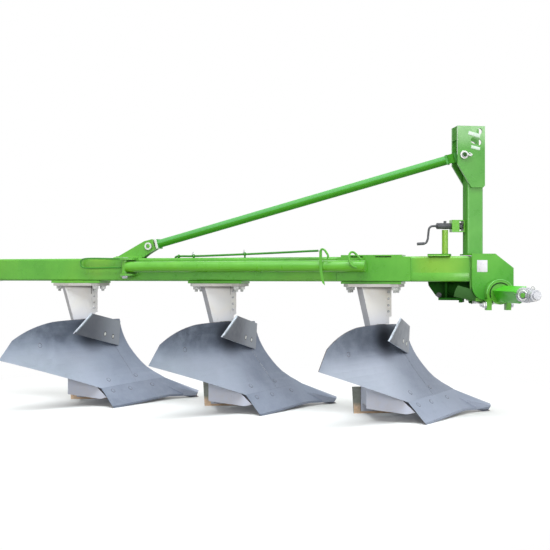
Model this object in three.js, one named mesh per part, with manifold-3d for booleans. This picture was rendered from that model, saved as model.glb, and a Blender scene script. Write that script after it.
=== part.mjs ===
// Mounted three-furrow plough: a hollow-section main beam set across the line of travel, three
// right-hand plough bodies under it, a headstock with mast and cross-shaft, and a folding arm for
// a press roller. Millimetres, +X the direction of travel, +Y the machine's left, +Z up.
import * as THREE from 'three';
import { mergeVertices } from 'three/addons/utils/BufferGeometryUtils.js';
import { ConvexGeometry } from 'three/addons/geometries/ConvexGeometry.js';
import Module from 'manifold-3d';

const wasm = await Module();
wasm.setup();

// ---- driving dimensions ----
const bodySpacing = 850;            // from body to body, along the line of travel
const furrowWidth = 400;            // from body to body, across it
const seatGap = 0.3;                // between pieces that touch
const clearance = 768;              // from the ground to the underside of the beam
const beamSize = 140;               // square hollow section
const beamWall = 8;
const beamRound = 14;               // outer corner radius of the hollow section
const beamFront = { x: -258, y: -392 };   // front end of the beam's axis
const beamLength = 3040;
const plateThickness = 12;

const mastWidth = { x: 90, y: 80 }; // rectangular hollow section
const mastWall = 6;
const mastHeight = 1610;            // top of the mast's cheeks, above the ground
const mastAxis = { x: -250, y: -395 };

const shaftRadius = 58;             // round middle of the cross-shaft
const shaftSquare = 66;             // its square ends
const linkShoulder = 482;           // half of the lower links' span, category 3
const linkPinRadius = 18.3;

// ---- helpers: geometry ----
const radians = THREE.MathUtils.degToRad;

function toSolid(geometry) {
  const bare = geometry.clone();
  bare.deleteAttribute('normal');
  bare.deleteAttribute('uv');
  const merged = mergeVertices(bare, 1e-4);
  const mesh = new wasm.Mesh({
    numProp: 3,
    vertProperties: new Float32Array(merged.attributes.position.array),
    triVerts: new Uint32Array(merged.index.array),
  });
  mesh.merge();
  return new wasm.Manifold(mesh);
}

function toGeometry(solid) {
  const mesh = solid.getMesh();
  const geometry = new THREE.BufferGeometry();
  geometry.setAttribute('position', new THREE.BufferAttribute(mesh.vertProperties, 3));
  geometry.setIndex(new THREE.BufferAttribute(mesh.triVerts, 1));
  geometry.computeVertexNormals();
  return geometry;
}

const join = (...parts) => toGeometry(parts.map(toSolid).reduce((a, b) => a.add(b)));
const cut = (base, ...tools) => toGeometry(tools.map(toSolid).reduce((a, b) => a.subtract(b), toSolid(base)));
const common = (...parts) => toGeometry(parts.map(toSolid).reduce((a, b) => a.intersect(b)));

function box(x, y, z) {
  const geometry = new THREE.BoxGeometry(x[1] - x[0], y[1] - y[0], z[1] - z[0]);
  return geometry.translate((x[0] + x[1]) / 2, (y[0] + y[1]) / 2, (z[0] + z[1]) / 2);
}

// a round bar or, with an inner radius, a tube, from one point to another
function rod(from, to, radius, inner = 0, sides = 24) {
  const start = new THREE.Vector3(...from);
  const axis = new THREE.Vector3(...to).sub(start);
  const length = axis.length();
  const profile = inner > 0
    ? [[inner, 0], [radius, 0], [radius, length], [inner, length], [inner, 0]]
    : [[0, 0], [radius, 0], [radius, length], [0, length]];
  const geometry = new THREE.LatheGeometry(profile.map(([r, h]) => new THREE.Vector2(r, h)), sides);
  geometry.applyQuaternion(new THREE.Quaternion().setFromUnitVectors(
    new THREE.Vector3(0, 1, 0), axis.normalize()));
  return geometry.translate(start.x, start.y, start.z);
}

const outline = (points) => new THREE.Shape(points.map(([a, b]) => new THREE.Vector2(a, b)));

// a flat plate standing in the XZ plane, from y[0] to y[1]
function uprightPlate(shape, y, curveSegments = 8) {
  const geometry = new THREE.ExtrudeGeometry(shape, { depth: y[1] - y[0], bevelEnabled: false, curveSegments });
  return geometry.rotateX(Math.PI / 2).translate(0, y[1], 0);
}

// a flat plate lying in the XY plane, from z[0] to z[1]
function flatPlate(shape, z, curveSegments = 8) {
  const geometry = new THREE.ExtrudeGeometry(shape, { depth: z[1] - z[0], bevelEnabled: false, curveSegments });
  return geometry.translate(0, 0, z[0]);
}

function roundedRectangle(halfWidth, halfHeight, radius) {
  const shape = new THREE.Shape();
  shape.moveTo(-halfWidth + radius, -halfHeight);
  shape.absarc(halfWidth - radius, -halfHeight + radius, radius, -Math.PI / 2, 0);
  shape.absarc(halfWidth - radius, halfHeight - radius, radius, 0, Math.PI / 2);
  shape.absarc(-halfWidth + radius, halfHeight - radius, radius, Math.PI / 2, Math.PI);
  shape.absarc(-halfWidth + radius, -halfHeight + radius, radius, Math.PI, Math.PI * 1.5);
  return shape;
}

// a slot with round ends: centre, distance between the end centres, end radius, tilt
function slot(x, z, reach, radius, tilt) {
  const half = { x: Math.cos(tilt) * reach / 2, z: Math.sin(tilt) * reach / 2 };
  const path = new THREE.Path();
  path.absarc(x + half.x, z + half.z, radius, tilt - Math.PI / 2, tilt + Math.PI / 2);
  path.absarc(x - half.x, z - half.z, radius, tilt + Math.PI / 2, tilt + Math.PI * 1.5);
  return path;
}

// a hollow section along +Z, centred on the axis
function hollowSection(width, height, wall, radius, length) {
  const shape = roundedRectangle(width / 2, height / 2, radius);
  shape.holes.push(roundedRectangle(width / 2 - wall, height / 2 - wall, radius - wall));
  return new THREE.ExtrudeGeometry(shape, { depth: length, bevelEnabled: false, curveSegments: 4 });
}

// a bar of round section bent along a path of points
function bentRod(points, radius, steps = 24, sides = 10) {
  const path = new THREE.CatmullRomCurve3(points.map((p) => new THREE.Vector3(...p)), false, 'centripetal');
  const ring = new THREE.Shape();
  ring.absarc(0, 0, radius, 0, Math.PI * 2);
  return new THREE.ExtrudeGeometry(ring, { extrudePath: path, steps, curveSegments: sides, bevelEnabled: false });
}

// a closed shell between two offsets of a surface: position(u, v) gives a point of the surface
function shell(position, u, v, offset) {
  const count = { u: u.count + 1, v: v.count + 1 };
  const at = (a, b) => position(u.from + (u.to - u.from) * a / u.count, v.from + (v.to - v.from) * b / v.count);
  const tiny = 1e-3;
  const vertices = [];
  for (const distance of offset) {
    for (let i = 0; i < count.u; i += 1) {
      for (let j = 0; j < count.v; j += 1) {
        const point = at(i, j);
        const alongU = at(i + tiny, j).sub(at(i - tiny, j));
        const alongV = at(i, j + tiny).sub(at(i, j - tiny));
        const normal = alongU.cross(alongV).normalize();
        vertices.push(...point.addScaledVector(normal, distance).toArray());
      }
    }
  }
  const layer = count.u * count.v;
  const index = [];
  const quad = (a, b, c, d) => index.push(a, b, c, a, c, d);
  const id = (side, i, j) => side * layer + i * count.v + j;
  for (let i = 0; i < u.count; i += 1) {
    for (let j = 0; j < v.count; j += 1) {
      quad(id(1, i, j), id(1, i + 1, j), id(1, i + 1, j + 1), id(1, i, j + 1));
      quad(id(0, i, j), id(0, i, j + 1), id(0, i + 1, j + 1), id(0, i + 1, j));
    }
  }
  for (let i = 0; i < u.count; i += 1) {
    quad(id(0, i, 0), id(0, i + 1, 0), id(1, i + 1, 0), id(1, i, 0));
    quad(id(0, i + 1, v.count), id(0, i, v.count), id(1, i, v.count), id(1, i + 1, v.count));
  }
  for (let j = 0; j < v.count; j += 1) {
    quad(id(0, 0, j + 1), id(0, 0, j), id(1, 0, j), id(1, 0, j + 1));
    quad(id(0, u.count, j), id(0, u.count, j + 1), id(1, u.count, j + 1), id(1, u.count, j));
  }
  const geometry = new THREE.BufferGeometry();
  geometry.setAttribute('position', new THREE.BufferAttribute(new Float32Array(vertices), 3));
  geometry.setIndex(index);
  return geometry;
}

// ---- materials ----
const paint = (color, roughness, metalness) => new THREE.MeshStandardMaterial({ color, roughness, metalness });
const greenPaint = paint(0x62b446, 0.4, 0.0);
const bodySteel = paint(0x8e9aac, 0.4, 0.6);
const legGrey = paint(0xd2d0cd, 0.5, 0.2);
const zincSteel = paint(0xb9bcc0, 0.35, 0.9);
const darkSteel = paint(0x4a4d50, 0.5, 0.6);

const plough = new THREE.Group();

function add(group, name, geometry, material) {
  const mesh = new THREE.Mesh(geometry, material);
  mesh.name = name;
  group.add(mesh);
  return mesh;
}

// ---- beam frame: +x forward along the beam, y across it, origin under its front end ----
const beamYaw = -Math.atan2(furrowWidth, bodySpacing);
const beamGroup = new THREE.Group();
beamGroup.position.set(beamFront.x, beamFront.y, 0);
beamGroup.rotation.z = beamYaw;
plough.add(beamGroup);

const beamTop = clearance + beamSize;
const beamMiddle = clearance + beamSize / 2;
const beamHalf = beamSize / 2;

function toBeam(x, y) {
  const dx = x - beamFront.x;
  const dy = y - beamFront.y;
  return [dx * Math.cos(beamYaw) + dy * Math.sin(beamYaw), -dx * Math.sin(beamYaw) + dy * Math.cos(beamYaw)];
}

add(beamGroup, 'main_beam',
  hollowSection(beamSize, beamSize, beamWall, beamRound, beamLength)
    .rotateY(-Math.PI / 2).translate(0, 0, beamMiddle), greenPaint);

const capThickness = 10;
add(beamGroup, 'beam_rear_cap',
  flatPlate(roundedRectangle(beamHalf, beamHalf, beamRound), [0, capThickness])
    .rotateY(-Math.PI / 2).translate(-beamLength - seatGap, 0, beamMiddle), greenPaint);

// heights of the headstock's yoke, from the beam that it holds
const yoke = { play: 5, top: beamTop + 12, bottom: clearance - 104, thickness: 18 };

// end flange of the beam with the barrel of the headstock's upright pivot
const flangeThickness = 16;
const pivot = { x: beamFront.x + 26, y: -420, radius: 17, barrel: 28 };
const shaftAxis = { x: pivot.x + pivot.barrel + 6 + shaftRadius, z: clearance - 63 };
const pivotInBeam = toBeam(pivot.x, pivot.y);
{
  const barrelZ = [yoke.bottom + yoke.thickness + yoke.play, beamTop - yoke.play];
  const flange = box([seatGap, flangeThickness], [-beamHalf, beamHalf], [clearance - 75, beamTop - 2]);
  const web = box([flangeThickness - 1, pivotInBeam[0]], [pivotInBeam[1] - 16, pivotInBeam[1] + 16],
    [clearance, beamTop - 30]);
  const barrel = rod([...pivotInBeam, barrelZ[0]], [...pivotInBeam, barrelZ[1]], pivot.barrel);
  const bore = rod([...pivotInBeam, barrelZ[0] - 5], [...pivotInBeam, barrelZ[1] + 5], pivot.radius + 0.5);
  add(beamGroup, 'beam_end_flange', cut(join(flange, web, barrel), bore), greenPaint);
}

// bracket under the front of the beam: far cheek, rib and bottom plate
{
  const drop = 100;
  const half = beamHalf - 12;
  const cheek = outline([[-242, 0], [-3, 0], [-3, -72], [-43, -72], [-43, -drop], [-170, -drop], [-198, -drop + 22],
    [-238, -22]]);
  const farCheek = uprightPlate(cheek, [half - plateThickness, half]);
  const floorPlate = box([-170, -43], [-half, half], [-drop, -drop + plateThickness]);
  const rib = box([-140, -128], [-10, half], [-drop, 0]);
  const lip = box([-60, -43], [-half, half], [-drop - 12, -drop + 1]);
  add(beamGroup, 'beam_front_bracket',
    join(farCheek, floorPlate, rib, lip).translate(0, 0, clearance - seatGap), greenPaint);
}

// reinforcing angle on the right face and the top of the beam above the front body
{
  const plate = { from: -734, to: -319, thickness: 8 };
  const cap = { from: -712, to: -366, thickness: 9 };
  const y = [-beamHalf - seatGap - plate.thickness, -beamHalf - seatGap];
  const side = box([plate.from, plate.to], y, [clearance + 4, beamTop - 4]);
  const rise = box([cap.from, cap.to], y, [beamTop - 5, beamTop + seatGap + cap.thickness]);
  const top = box([cap.from, cap.to], [y[0], beamHalf - 30], [beamTop + seatGap, beamTop + seatGap + cap.thickness]);
  const windows = [[-655, -585], [-515, -425]].map((x) => box(x, [y[0] - 5, y[1]], [beamTop - 5, beamTop + 2]));
  add(beamGroup, 'beam_side_plate', cut(join(side, rise, top), ...windows), greenPaint);
}

// ---- brace from the rear of the beam to the mast head ----
const headPin = { x: mastAxis.x - mastWidth.x / 2 - 23, z: mastHeight - 157, radius: 14 };
const headFoot = mastHeight - 332;  // lower end of the mast's cheeks
const lug = { along: -1934, pinRise: 73, gap: 20, pinRadius: 12 };
const brace = { radius: 25, tongue: 14, plate: 58 };
const bracePin = { z: beamTop + seatGap + lug.pinRise };
{
  const plate = outline([[-237, 0], [-45, 0], [-6, 27], [45, 55], [21, 117], [-33, 105]]);
  const hole = rod([0, -40, lug.pinRise], [0, 40, lug.pinRise], lug.pinRadius + 0.5);
  const cheeks = [-lug.gap / 2 - plateThickness, lug.gap / 2].map((y) => uprightPlate(plate, [y, y + plateThickness]));
  const half = lug.gap / 2 + plateThickness + 12;
  const foot = box([-237, -45], [-half, half], [0, 8]);
  add(beamGroup, 'brace_lug',
    cut(join(...cheeks, foot), hole).translate(lug.along, 0, beamTop + seatGap), greenPaint);
}
beamGroup.updateMatrixWorld(true);
const braceLow = new THREE.Vector3(lug.along, 0, bracePin.z).applyMatrix4(beamGroup.matrixWorld);
const braceHigh = new THREE.Vector3(headPin.x, mastAxis.y, headPin.z);
{
  const run = braceHigh.clone().sub(braceLow);
  const length = run.length();
  const half = brace.tongue / 2;
  const pitch = -Math.atan2(run.z, Math.hypot(run.x, run.y));
  const yaw = Math.atan2(run.y, run.x);
  // built along +x from the lower pin, then turned into place
  const lowEye = join(rod([0, -half, 0], [0, half, 0], 22), box([0, 60], [-half, half], [-20, 20]));
  const tube = rod([58, 0, 0], [length - 76, 0, 0], brace.radius);
  const endPlate = (x, reach) => box(x, [-reach, reach], [-reach, reach]);
  const plates = [endPlate([50, 64], brace.plate / 2), endPlate([length - 80, length - 70], brace.plate / 2 - 4)];
  const straight = cut(join(lowEye, tube, ...plates), rod([0, -30, 0], [0, 30, 0], lug.pinRadius + 0.5));
  straight.rotateY(pitch).rotateZ(yaw).translate(...braceLow.toArray());
  // the upper tongue is set in line with the mast's cheeks
  const highEye = join(rod([0, -half, 0], [0, half, 0], 27), box([-38, 0], [-half, half], [-25, 25]));
  const neck = box([-78, -18], [-half, half], [-25, 25]).rotateZ(yaw);
  const upper = cut(join(highEye, neck), rod([0, -30, 0], [0, 30, 0], headPin.radius + 3.5));
  upper.rotateY(pitch).translate(...braceHigh.toArray());
  add(plough, 'brace_tube', join(straight, upper), greenPaint);
}
{
  const half = lug.gap / 2 + plateThickness;
  const pin = join(rod([0, -half - 8, 0], [0, half + 8, 0], lug.pinRadius),
    rod([0, -half - 6, 0], [0, -half - seatGap, 0], 21));
  add(beamGroup, 'brace_rear_pin', pin.translate(lug.along, 0, bracePin.z), zincSteel);
}

// ---- adjuster between the beam and the mast ----
const spindle = { y: -372, z: yoke.top + 0.425 * (headFoot - yoke.top), radius: 11 };
spindle.drop = 0.6 * (spindle.z - beamTop);   // from the spindle to the crank's grip
const post = { x: -399, radius: 17 };
{
  const [px, py] = toBeam(post.x, spindle.y);
  const base = box([px - 90, px + 30], [py - 36, py + 36], [beamTop + seatGap, beamTop + 12]);
  const stem = rod([px, py, beamTop + 5], [px, py, spindle.z - 21], post.radius, 0, 20);
  add(beamGroup, 'adjuster_post', join(base, stem), greenPaint);
}

// ---- press-roller arm on the right side of the beam ----
const armTube = { radius: 32, length: 1482, z: beamMiddle + 16 };
const armPivot = { x: -2041, y: -beamHalf - 62, pin: 11, hub: 20, bottom: armTube.z - 41, top: armTube.z + 41 };
{
  const ear = outline([[-30, 0], [48, 0], [52, -60], [20, -92], [-14, -92], [-32, -60]]);
  const ears = [[armPivot.bottom - 12, armPivot.bottom - 1], [armPivot.top + 1, armPivot.top + 12]].map(
    (z) => flatPlate(ear, z).translate(armPivot.x, -beamHalf - 5, 0));
  const back = box([armPivot.x - 22, armPivot.x + 58], [-beamHalf - 9, -beamHalf - seatGap],
    [Math.max(armPivot.bottom - 12, clearance + beamRound), armPivot.top + 12]);
  const pin = rod([armPivot.x, armPivot.y, armPivot.bottom - 22], [armPivot.x, armPivot.y, armPivot.top + 16], armPivot.pin);
  add(beamGroup, 'arm_pivot_bracket', join(...ears, back, pin), greenPaint);
}
// rod loop beside the pivot, its two ends seated on the beam
{
  const loop = { back: -327, front: -40, top: armTube.z + 51, bottom: armTube.z - 3, radius: 5, reach: -beamHalf - 24 };
  const seat = -beamHalf - seatGap;
  const path = [[loop.front, seat, loop.top], [loop.front, seat - 12, loop.top], [loop.front - 14, loop.reach, loop.top],
    [loop.front - 60, loop.reach, loop.top], [loop.back + 24, loop.reach, loop.top],
    [loop.back + 5, loop.reach, loop.top - 8], [loop.back, loop.reach, loop.top - 27],
    [loop.back + 5, loop.reach, loop.bottom + 8], [loop.back + 24, loop.reach, loop.bottom],
    [loop.front - 60, loop.reach, loop.bottom], [loop.front - 14, loop.reach, loop.bottom],
    [loop.front, seat - 12, loop.bottom], [loop.front, seat, loop.bottom]].map(([x, y, z]) => [armPivot.x + x, y, z]);
  add(beamGroup, 'arm_stay_loop', bentRod(path, loop.radius, 44, 4), greenPaint);
}
const armGroup = new THREE.Group();
armGroup.position.set(armPivot.x, armPivot.y, 0);
beamGroup.add(armGroup);
{
  const hub = rod([0, 0, armPivot.bottom], [0, 0, armPivot.top], armPivot.hub);
  const tube = rod([14, 0, armTube.z], [armTube.length, 0, armTube.z], armTube.radius);
  const bore = rod([0, 0, armPivot.bottom - 5], [0, 0, armPivot.top + 5], armPivot.pin + 0.5);
  add(armGroup, 'packer_arm', cut(join(hub, tube), bore), greenPaint);
}
// catch: a tapered bar in front of the arm with a bent hook at its head
{
  const x = 1238;
  const front = -armTube.radius - seatGap;
  const bar = outline([[-9, 88], [6, 88], [6, 30], [9, -30], [22, -106], [8, -92], [-6, -30], [-9, 30]]);
  const plate = uprightPlate(bar, [front - 8, front]);
  const hook = bentRod([[-4, front - 4, 82], [4, front - 4, 94], [18, front - 6, 92], [32, front - 8, 76],
    [42, front - 8, 56], [34, front - 8, 40]], 6, 20, 5);
  add(armGroup, 'arm_catch_hook', join(plate, hook).translate(x, 0, armTube.z), greenPaint);
}
// grab handle: a rod bent over the top of the arm, seated on its top and its right side
{
  const r = armTube.radius;
  const path = [[1455, 4, r + 6 + seatGap], [1440, 2, r + 22], [1424, -6, r + 40], [1412, -22, r + 46], [1402, -38, r + 36],
    [1400, -46, r + 8], [1408, -46, 14], [1424, -42, -2], [1442, -r - 4.9 - seatGap, -8]];
  const handle = bentRod(path.map(([x, y, z]) => [x, y, armTube.z + z]), 6, 30, 4);
  add(armGroup, 'arm_ring_handle', handle, greenPaint);
}

// ---- headstock ----
const headstock = new THREE.Group();
plough.add(headstock);
const sideInner = beamHalf + 8;     // from the mast's axis to a side plate
const sideOuter = sideInner + plateThickness;
const yokeTop = { bottom: beamTop + yoke.play, top: yoke.top };
const yokeBottom = { bottom: yoke.bottom, top: yoke.bottom + yoke.thickness };
const sides = [
  { side: 'right', sign: -1 },
  { side: 'left', sign: 1 },
];
const span = (sign, a, b) => (sign < 0 ? [mastAxis.y - b, mastAxis.y - a] : [mastAxis.y + a, mastAxis.y + b]);
{
  // the rear edge, beside the beam and below it; the foot is open under the shaft
  const rearEdge = { right: { x: -286, low: -286, heel: -224 }, left: { x: -210, low: -255, heel: -215 } };
  const front = shaftAxis.x + shaftRadius + 28;
  const foot = shaftAxis.z - shaftRadius + 6;
  for (const { side, sign } of sides) {
    const { x: rear, low, heel } = rearEdge[side];
    const shape = new THREE.Shape();
    shape.moveTo(rear, yoke.top);
    shape.lineTo(-156, yoke.top);
    shape.lineTo(front, yoke.top - 77);
    shape.lineTo(front, shaftAxis.z - 8);
    shape.lineTo(front - 24, foot);
    shape.lineTo(shaftAxis.x - 50, foot);
    shape.lineTo(heel, yoke.bottom + 8);
    shape.quadraticCurveTo(low + 6, yoke.bottom + 20, low, clearance - 24);
    shape.lineTo(rear, clearance - 8);
    const plate = uprightPlate(shape, span(sign, sideInner, sideOuter));
    const bore = rod([shaftAxis.x, -1000, shaftAxis.z], [shaftAxis.x, 1000, shaftAxis.z], shaftRadius + seatGap, 0, 32);
    add(headstock, `headstock_plate_${side}`, cut(plate, bore), greenPaint);
  }
}
{
  const y = span(1, -sideInner + seatGap, sideInner - seatGap);
  const bore = rod([pivot.x, pivot.y, 500], [pivot.x, pivot.y, 2000], pivot.radius + seatGap);
  const rear = mastAxis.x - mastWidth.x / 2 - 1;
  add(headstock, 'headstock_top_plate', cut(box([rear, -160], y, [yokeTop.bottom, yokeTop.top]), bore), greenPaint);
  add(headstock, 'headstock_bottom_plate',
    cut(box([-262, shaftAxis.x - shaftRadius - seatGap], y, [yokeBottom.bottom, yokeBottom.top]), bore), greenPaint);
  const head = rod([pivot.x, pivot.y, yokeBottom.bottom - 14], [pivot.x, pivot.y, yokeBottom.bottom - seatGap], 27);
  add(headstock, 'headstock_pivot_pin',
    join(rod([pivot.x, pivot.y, yokeBottom.bottom - 14], [pivot.x, pivot.y, yokeTop.top], pivot.radius), head), zincSteel);
}
const mastTubeTop = headPin.z - 46;
{
  const tube = hollowSection(mastWidth.x, mastWidth.y, mastWall, 10, mastTubeTop - yoke.top - seatGap);
  add(headstock, 'mast_tube', tube.translate(mastAxis.x, mastAxis.y, yoke.top + seatGap), greenPaint);
}
// cheeks of the mast head, and the web that joins them behind the top link
{
  const rear = mastAxis.x - mastWidth.x / 2 - 58;
  const front = mastAxis.x + mastWidth.x / 2 + 5;
  const shape = outline([[rear, mastHeight], [front, mastHeight], [front, headFoot + 11], [front - 10, headFoot],
    [rear + 77, headFoot], [rear, mastHeight - 207]]);
  shape.holes.push(slot(mastAxis.x + 1, mastHeight - 82, 30, 17, radians(-20)));
  shape.holes.push(slot(mastAxis.x + 19, mastHeight - 28, 0, 16.5, 0));
  const half = mastWidth.y / 2 + seatGap;
  for (const { side, sign } of sides) {
    const plate = uprightPlate(shape, span(sign, half, half + plateThickness));
    const hole = rod([headPin.x, -1000, headPin.z], [headPin.x, 1000, headPin.z], headPin.radius + seatGap);
    add(headstock, `mast_head_plate_${side}`, cut(plate, hole), greenPaint);
  }
  add(headstock, 'mast_head_web', box([rear, rear + 10], span(1, -half + seatGap, half - seatGap),
    [mastHeight - 74, mastHeight]), greenPaint);
}
{
  const half = mastWidth.y / 2 + plateThickness;
  const pin = join(rod([headPin.x, mastAxis.y - half - 16, headPin.z], [headPin.x, mastAxis.y + half + 14, headPin.z], headPin.radius),
    rod([headPin.x, mastAxis.y - half - 6, headPin.z], [headPin.x, mastAxis.y - half - 2 * seatGap, headPin.z], 22));
  add(headstock, 'mast_head_pin', pin, zincSteel);
}
// bracket behind the mast whose block holds the crank spindle
{
  const back = mastAxis.x - mastWidth.x / 2 - seatGap;
  const y = [spindle.y - 27, spindle.y + 23];
  const block = { from: back - 71, to: back - 31 };
  const ears = [[-33, -27], [27, 33]].map(([a, b]) => box([block.from, back], y, [spindle.z + a, spindle.z + b]));
  const blockForm = box([block.from, block.to], y, [spindle.z - 28, spindle.z + 28]);
  const foot = box([back - 6, back], y, [spindle.z - 33, spindle.z + 33]);
  const along = (x0, x1, radius, sides_ = 20) => rod([x0, spindle.y, spindle.z], [x1, spindle.y, spindle.z], radius, 0, sides_);
  add(headstock, 'mast_bracket', cut(join(...ears, blockForm, foot),
    along(block.from - 5, block.to + 5, spindle.radius + seatGap)), greenPaint);
  const nut = along(post.x - 46, block.from - 1, 17, 12);
  const lockNut = along(block.to + seatGap, block.to + 20, 18, 6);
  const screw = along(post.x - 50, block.to + 25, spindle.radius, 16);
  const pin = rod([post.x, spindle.y, spindle.z], [post.x, spindle.y, spindle.z + 28], 8, 0, 12);
  const arm = bentRod([[-44, 0], [-76, -0.02], [-88, -0.12], [-98, -0.76], [-108, -0.94], [-126, -0.98]].map(
    ([x, share]) => [post.x + x, spindle.y, spindle.z + share * spindle.drop]), 6, 28, 6);
  const grip = rod([post.x - 116, spindle.y, spindle.z - 0.97 * spindle.drop],
    [post.x - 156, spindle.y, spindle.z - spindle.drop], 8, 0, 12);
  add(headstock, 'crank_spindle', join(nut, lockNut, screw, pin, arm, grip), darkSteel);
}
// cross-shaft: round between its flanges, square ends set on the slant, lower link pins
const clamp = { thickness: 30, width: 17, lug: { right: 88, left: 58 } };
const tubeEnd = sideOuter + seatGap + clamp.thickness;
const squareEnd = linkShoulder - 66;
add(headstock, 'cross_shaft',
  rod([shaftAxis.x, mastAxis.y - tubeEnd, shaftAxis.z], [shaftAxis.x, mastAxis.y + tubeEnd, shaftAxis.z],
    shaftRadius, 0, 32), greenPaint);
for (const { side, sign } of sides) {
  const along = (d) => mastAxis.y + sign * d;
  const bar = (from, to, radius, inner = 0, sides_ = 32) => rod([shaftAxis.x, along(from), shaftAxis.z],
    [shaftAxis.x, along(to), shaftAxis.z], radius, inner, sides_);
  // clamp over the shaft, open at the foot between its two lugs
  const bore = shaftRadius + seatGap;
  const clampY = span(sign, sideOuter + seatGap, tubeEnd);
  const lugs = [[-76, -48], [32, 60]].map(([a, b]) => box([shaftAxis.x + a, shaftAxis.x + b], clampY,
    [shaftAxis.z - clamp.lug[side], shaftAxis.z - 30]));
  add(headstock, `shaft_flange_${side}`,
    cut(join(bar(sideOuter + seatGap, tubeEnd, bore + clamp.width), ...lugs),
      bar(sideOuter - 5, tubeEnd + 5, bore),
      box([shaftAxis.x - 48, shaftAxis.x + 32], [-1000, 1000], [shaftAxis.z - 200, shaftAxis.z - 30])), greenPaint);
  const half = shaftSquare / 2;
  const square = box([-half, half], span(sign, tubeEnd + seatGap, squareEnd), [-half, half]);
  square.translate(0, -mastAxis.y, 0).rotateY(radians(-24)).translate(shaftAxis.x, mastAxis.y, shaftAxis.z);
  add(headstock, `shaft_end_${side}`, square, greenPaint);
  // collar against the square end, tapered ball sleeve, and the link pin that carries them
  const sleeveEnd = linkShoulder + 90;
  const steps = 4;
  const taper = Array.from({ length: steps }, (_, k) => {
    const from = squareEnd + 56 + (sleeveEnd - squareEnd - 56) * k / steps;
    return bar(from - 1, from + (sleeveEnd - squareEnd - 56) / steps, 35 - 2.4 * k);
  });
  add(headstock, `link_pin_${side}`,
    join(bar(squareEnd + seatGap, squareEnd + 56, 38), ...taper, bar(linkShoulder, linkShoulder + 103, linkPinRadius)),
    zincSteel);
}

// ---- plough bodies: origin at the share's point, on the ground ----
const shellThickness = 10;
const shareAngle = radians(41);     // of the share's edge to the line of travel
const wingTwist = radians(5);       // more at the top of the mouldboard
const shareSlope = radians(41);     // of the share, square to its edge
const flatRise = 150;               // height to which the surface is flat
const surfaceRadius = 600;          // of the surface above that
const shinBulge = { low: 134, at: 196, high: 285, depth: 11, reach: 260 };

// distance that the surface has moved back from its foot, square to its rulings
function setBack(z) {
  if (z <= flatRise) return z / Math.tan(shareSlope);
  const cosine = Math.cos(shareSlope) - (z - flatRise) / surfaceRadius;
  return flatRise / Math.tan(shareSlope) + surfaceRadius * (Math.sqrt(1 - cosine * cosine) - Math.sin(shareSlope));
}
const rulingAngle = (z) => shareAngle + wingTwist * Math.max(z, 0) / 500;
// the crease of the shin, which fades out towards the mouldboard
function crease(z, along) {
  const fade = Math.max(0, 1 - Math.max(along, 0) / shinBulge.reach) ** 2;
  const rise = z < shinBulge.at ? (z - shinBulge.low) / (shinBulge.at - shinBulge.low)
    : (shinBulge.high - z) / (shinBulge.high - shinBulge.at);
  return shinBulge.depth * fade * Math.max(0, rise);
}
// a point at height z, at a distance along its ruling from the landside plane
function surfacePoint(z, along) {
  const angle = rulingAngle(z);
  return new THREE.Vector3(-setBack(z) / Math.sin(angle) - crease(z, along) - along * Math.cos(angle),
    -along * Math.sin(angle), z);
}
const fullSurface = (from, to) => shell(surfacePoint, { from: -20, to: 560, count: 18 },
  { from: -40, to: 1120, count: 6 }, [from, to]);

const sideWise = (points) => uprightPlate(outline(points), [-1200, 0]);
const sheet = fullSurface(-shellThickness, 0);
const seamGap = 0.6;

const shareForm = (() => {
  const blade = common(sheet, sideWise([[60, 0], [-526, 0], [-606, 112], [-225, 131], [60, 131]]),
    flatPlate(outline([[60, 60], [60, -10], [-20, -10], [-94, -44], [-191, -116], [-249, -171], [-356, -277],
      [-478, -396], [-800, -690], [-800, 60]]), [-10, 400]));
  const nose = new ConvexGeometry([
    [0, 0, 41], [-7, -32, 33], [-14, 0, 8], [-21, -34, 12], [-72, 0, 2], [-104, -52, 14],
    [-224, 0, 130], [-224, -60, 88], [-224, 0, 116], [-224, -60, 74],
  ].map((p) => new THREE.Vector3(...p)));
  return join(blade, nose);
})();
const shinForm = common(sheet, sideWise([[-225, 131 + seamGap], [-402, 124 + seamGap], [-446, 200], [-500, 280],
  [-545, 354], [-566, 440], [-572, 540], [-200, 540]]), sideWise([[0, 0], [0, 512], [-900, 524], [-900, 0]]));
const mouldboardForm = (() => {
  const shape = new THREE.Shape();
  shape.moveTo(-402 - seamGap, 124 + seamGap);
  shape.lineTo(-606, 112 + seamGap);
  shape.lineTo(-1155, 320);
  shape.lineTo(-1097, 424);
  shape.quadraticCurveTo(-1010, 500, -893, 521);
  shape.quadraticCurveTo(-760, 534, -573, 520);
  shape.lineTo(-567, 440);
  shape.lineTo(-546, 354);
  shape.lineTo(-501, 280);
  shape.lineTo(-447, 200);
  return common(sheet, uprightPlate(shape, [-1200, 0]));
})();
// all that lies in front of the back of the surface, to trim what stands behind it
const frontOfSurface = common(fullSurface(-shellThickness - seatGap, 280), box([-2000, 500], [-1500, 200], [-100, 530]));

const legYaw = radians(26);
const leg = { x: -750, y: -199, thickness: 50, top: clearance - 30 };
const legForm = (() => {
  const profile = outline([[-110, leg.top], [108, leg.top], [108, 572], [92, 566], [88, 430], [100, 300], [190, 170],
    [190, 80], [22, 80], [-20, 300], [-50, 520]]);
  const blade = uprightPlate(profile, [-leg.thickness / 2, leg.thickness / 2]);
  const step = box([66, 130], [-leg.thickness, -leg.thickness / 2 + 7], [400, leg.top + 5]);
  const slit = box([62, 68], [-leg.thickness, leg.thickness / 4], [leg.top - 52, leg.top + 5]);
  return cut(cut(blade, step, slit).rotateZ(legYaw).translate(leg.x, leg.y, 0), frontOfSurface);
})();
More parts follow.
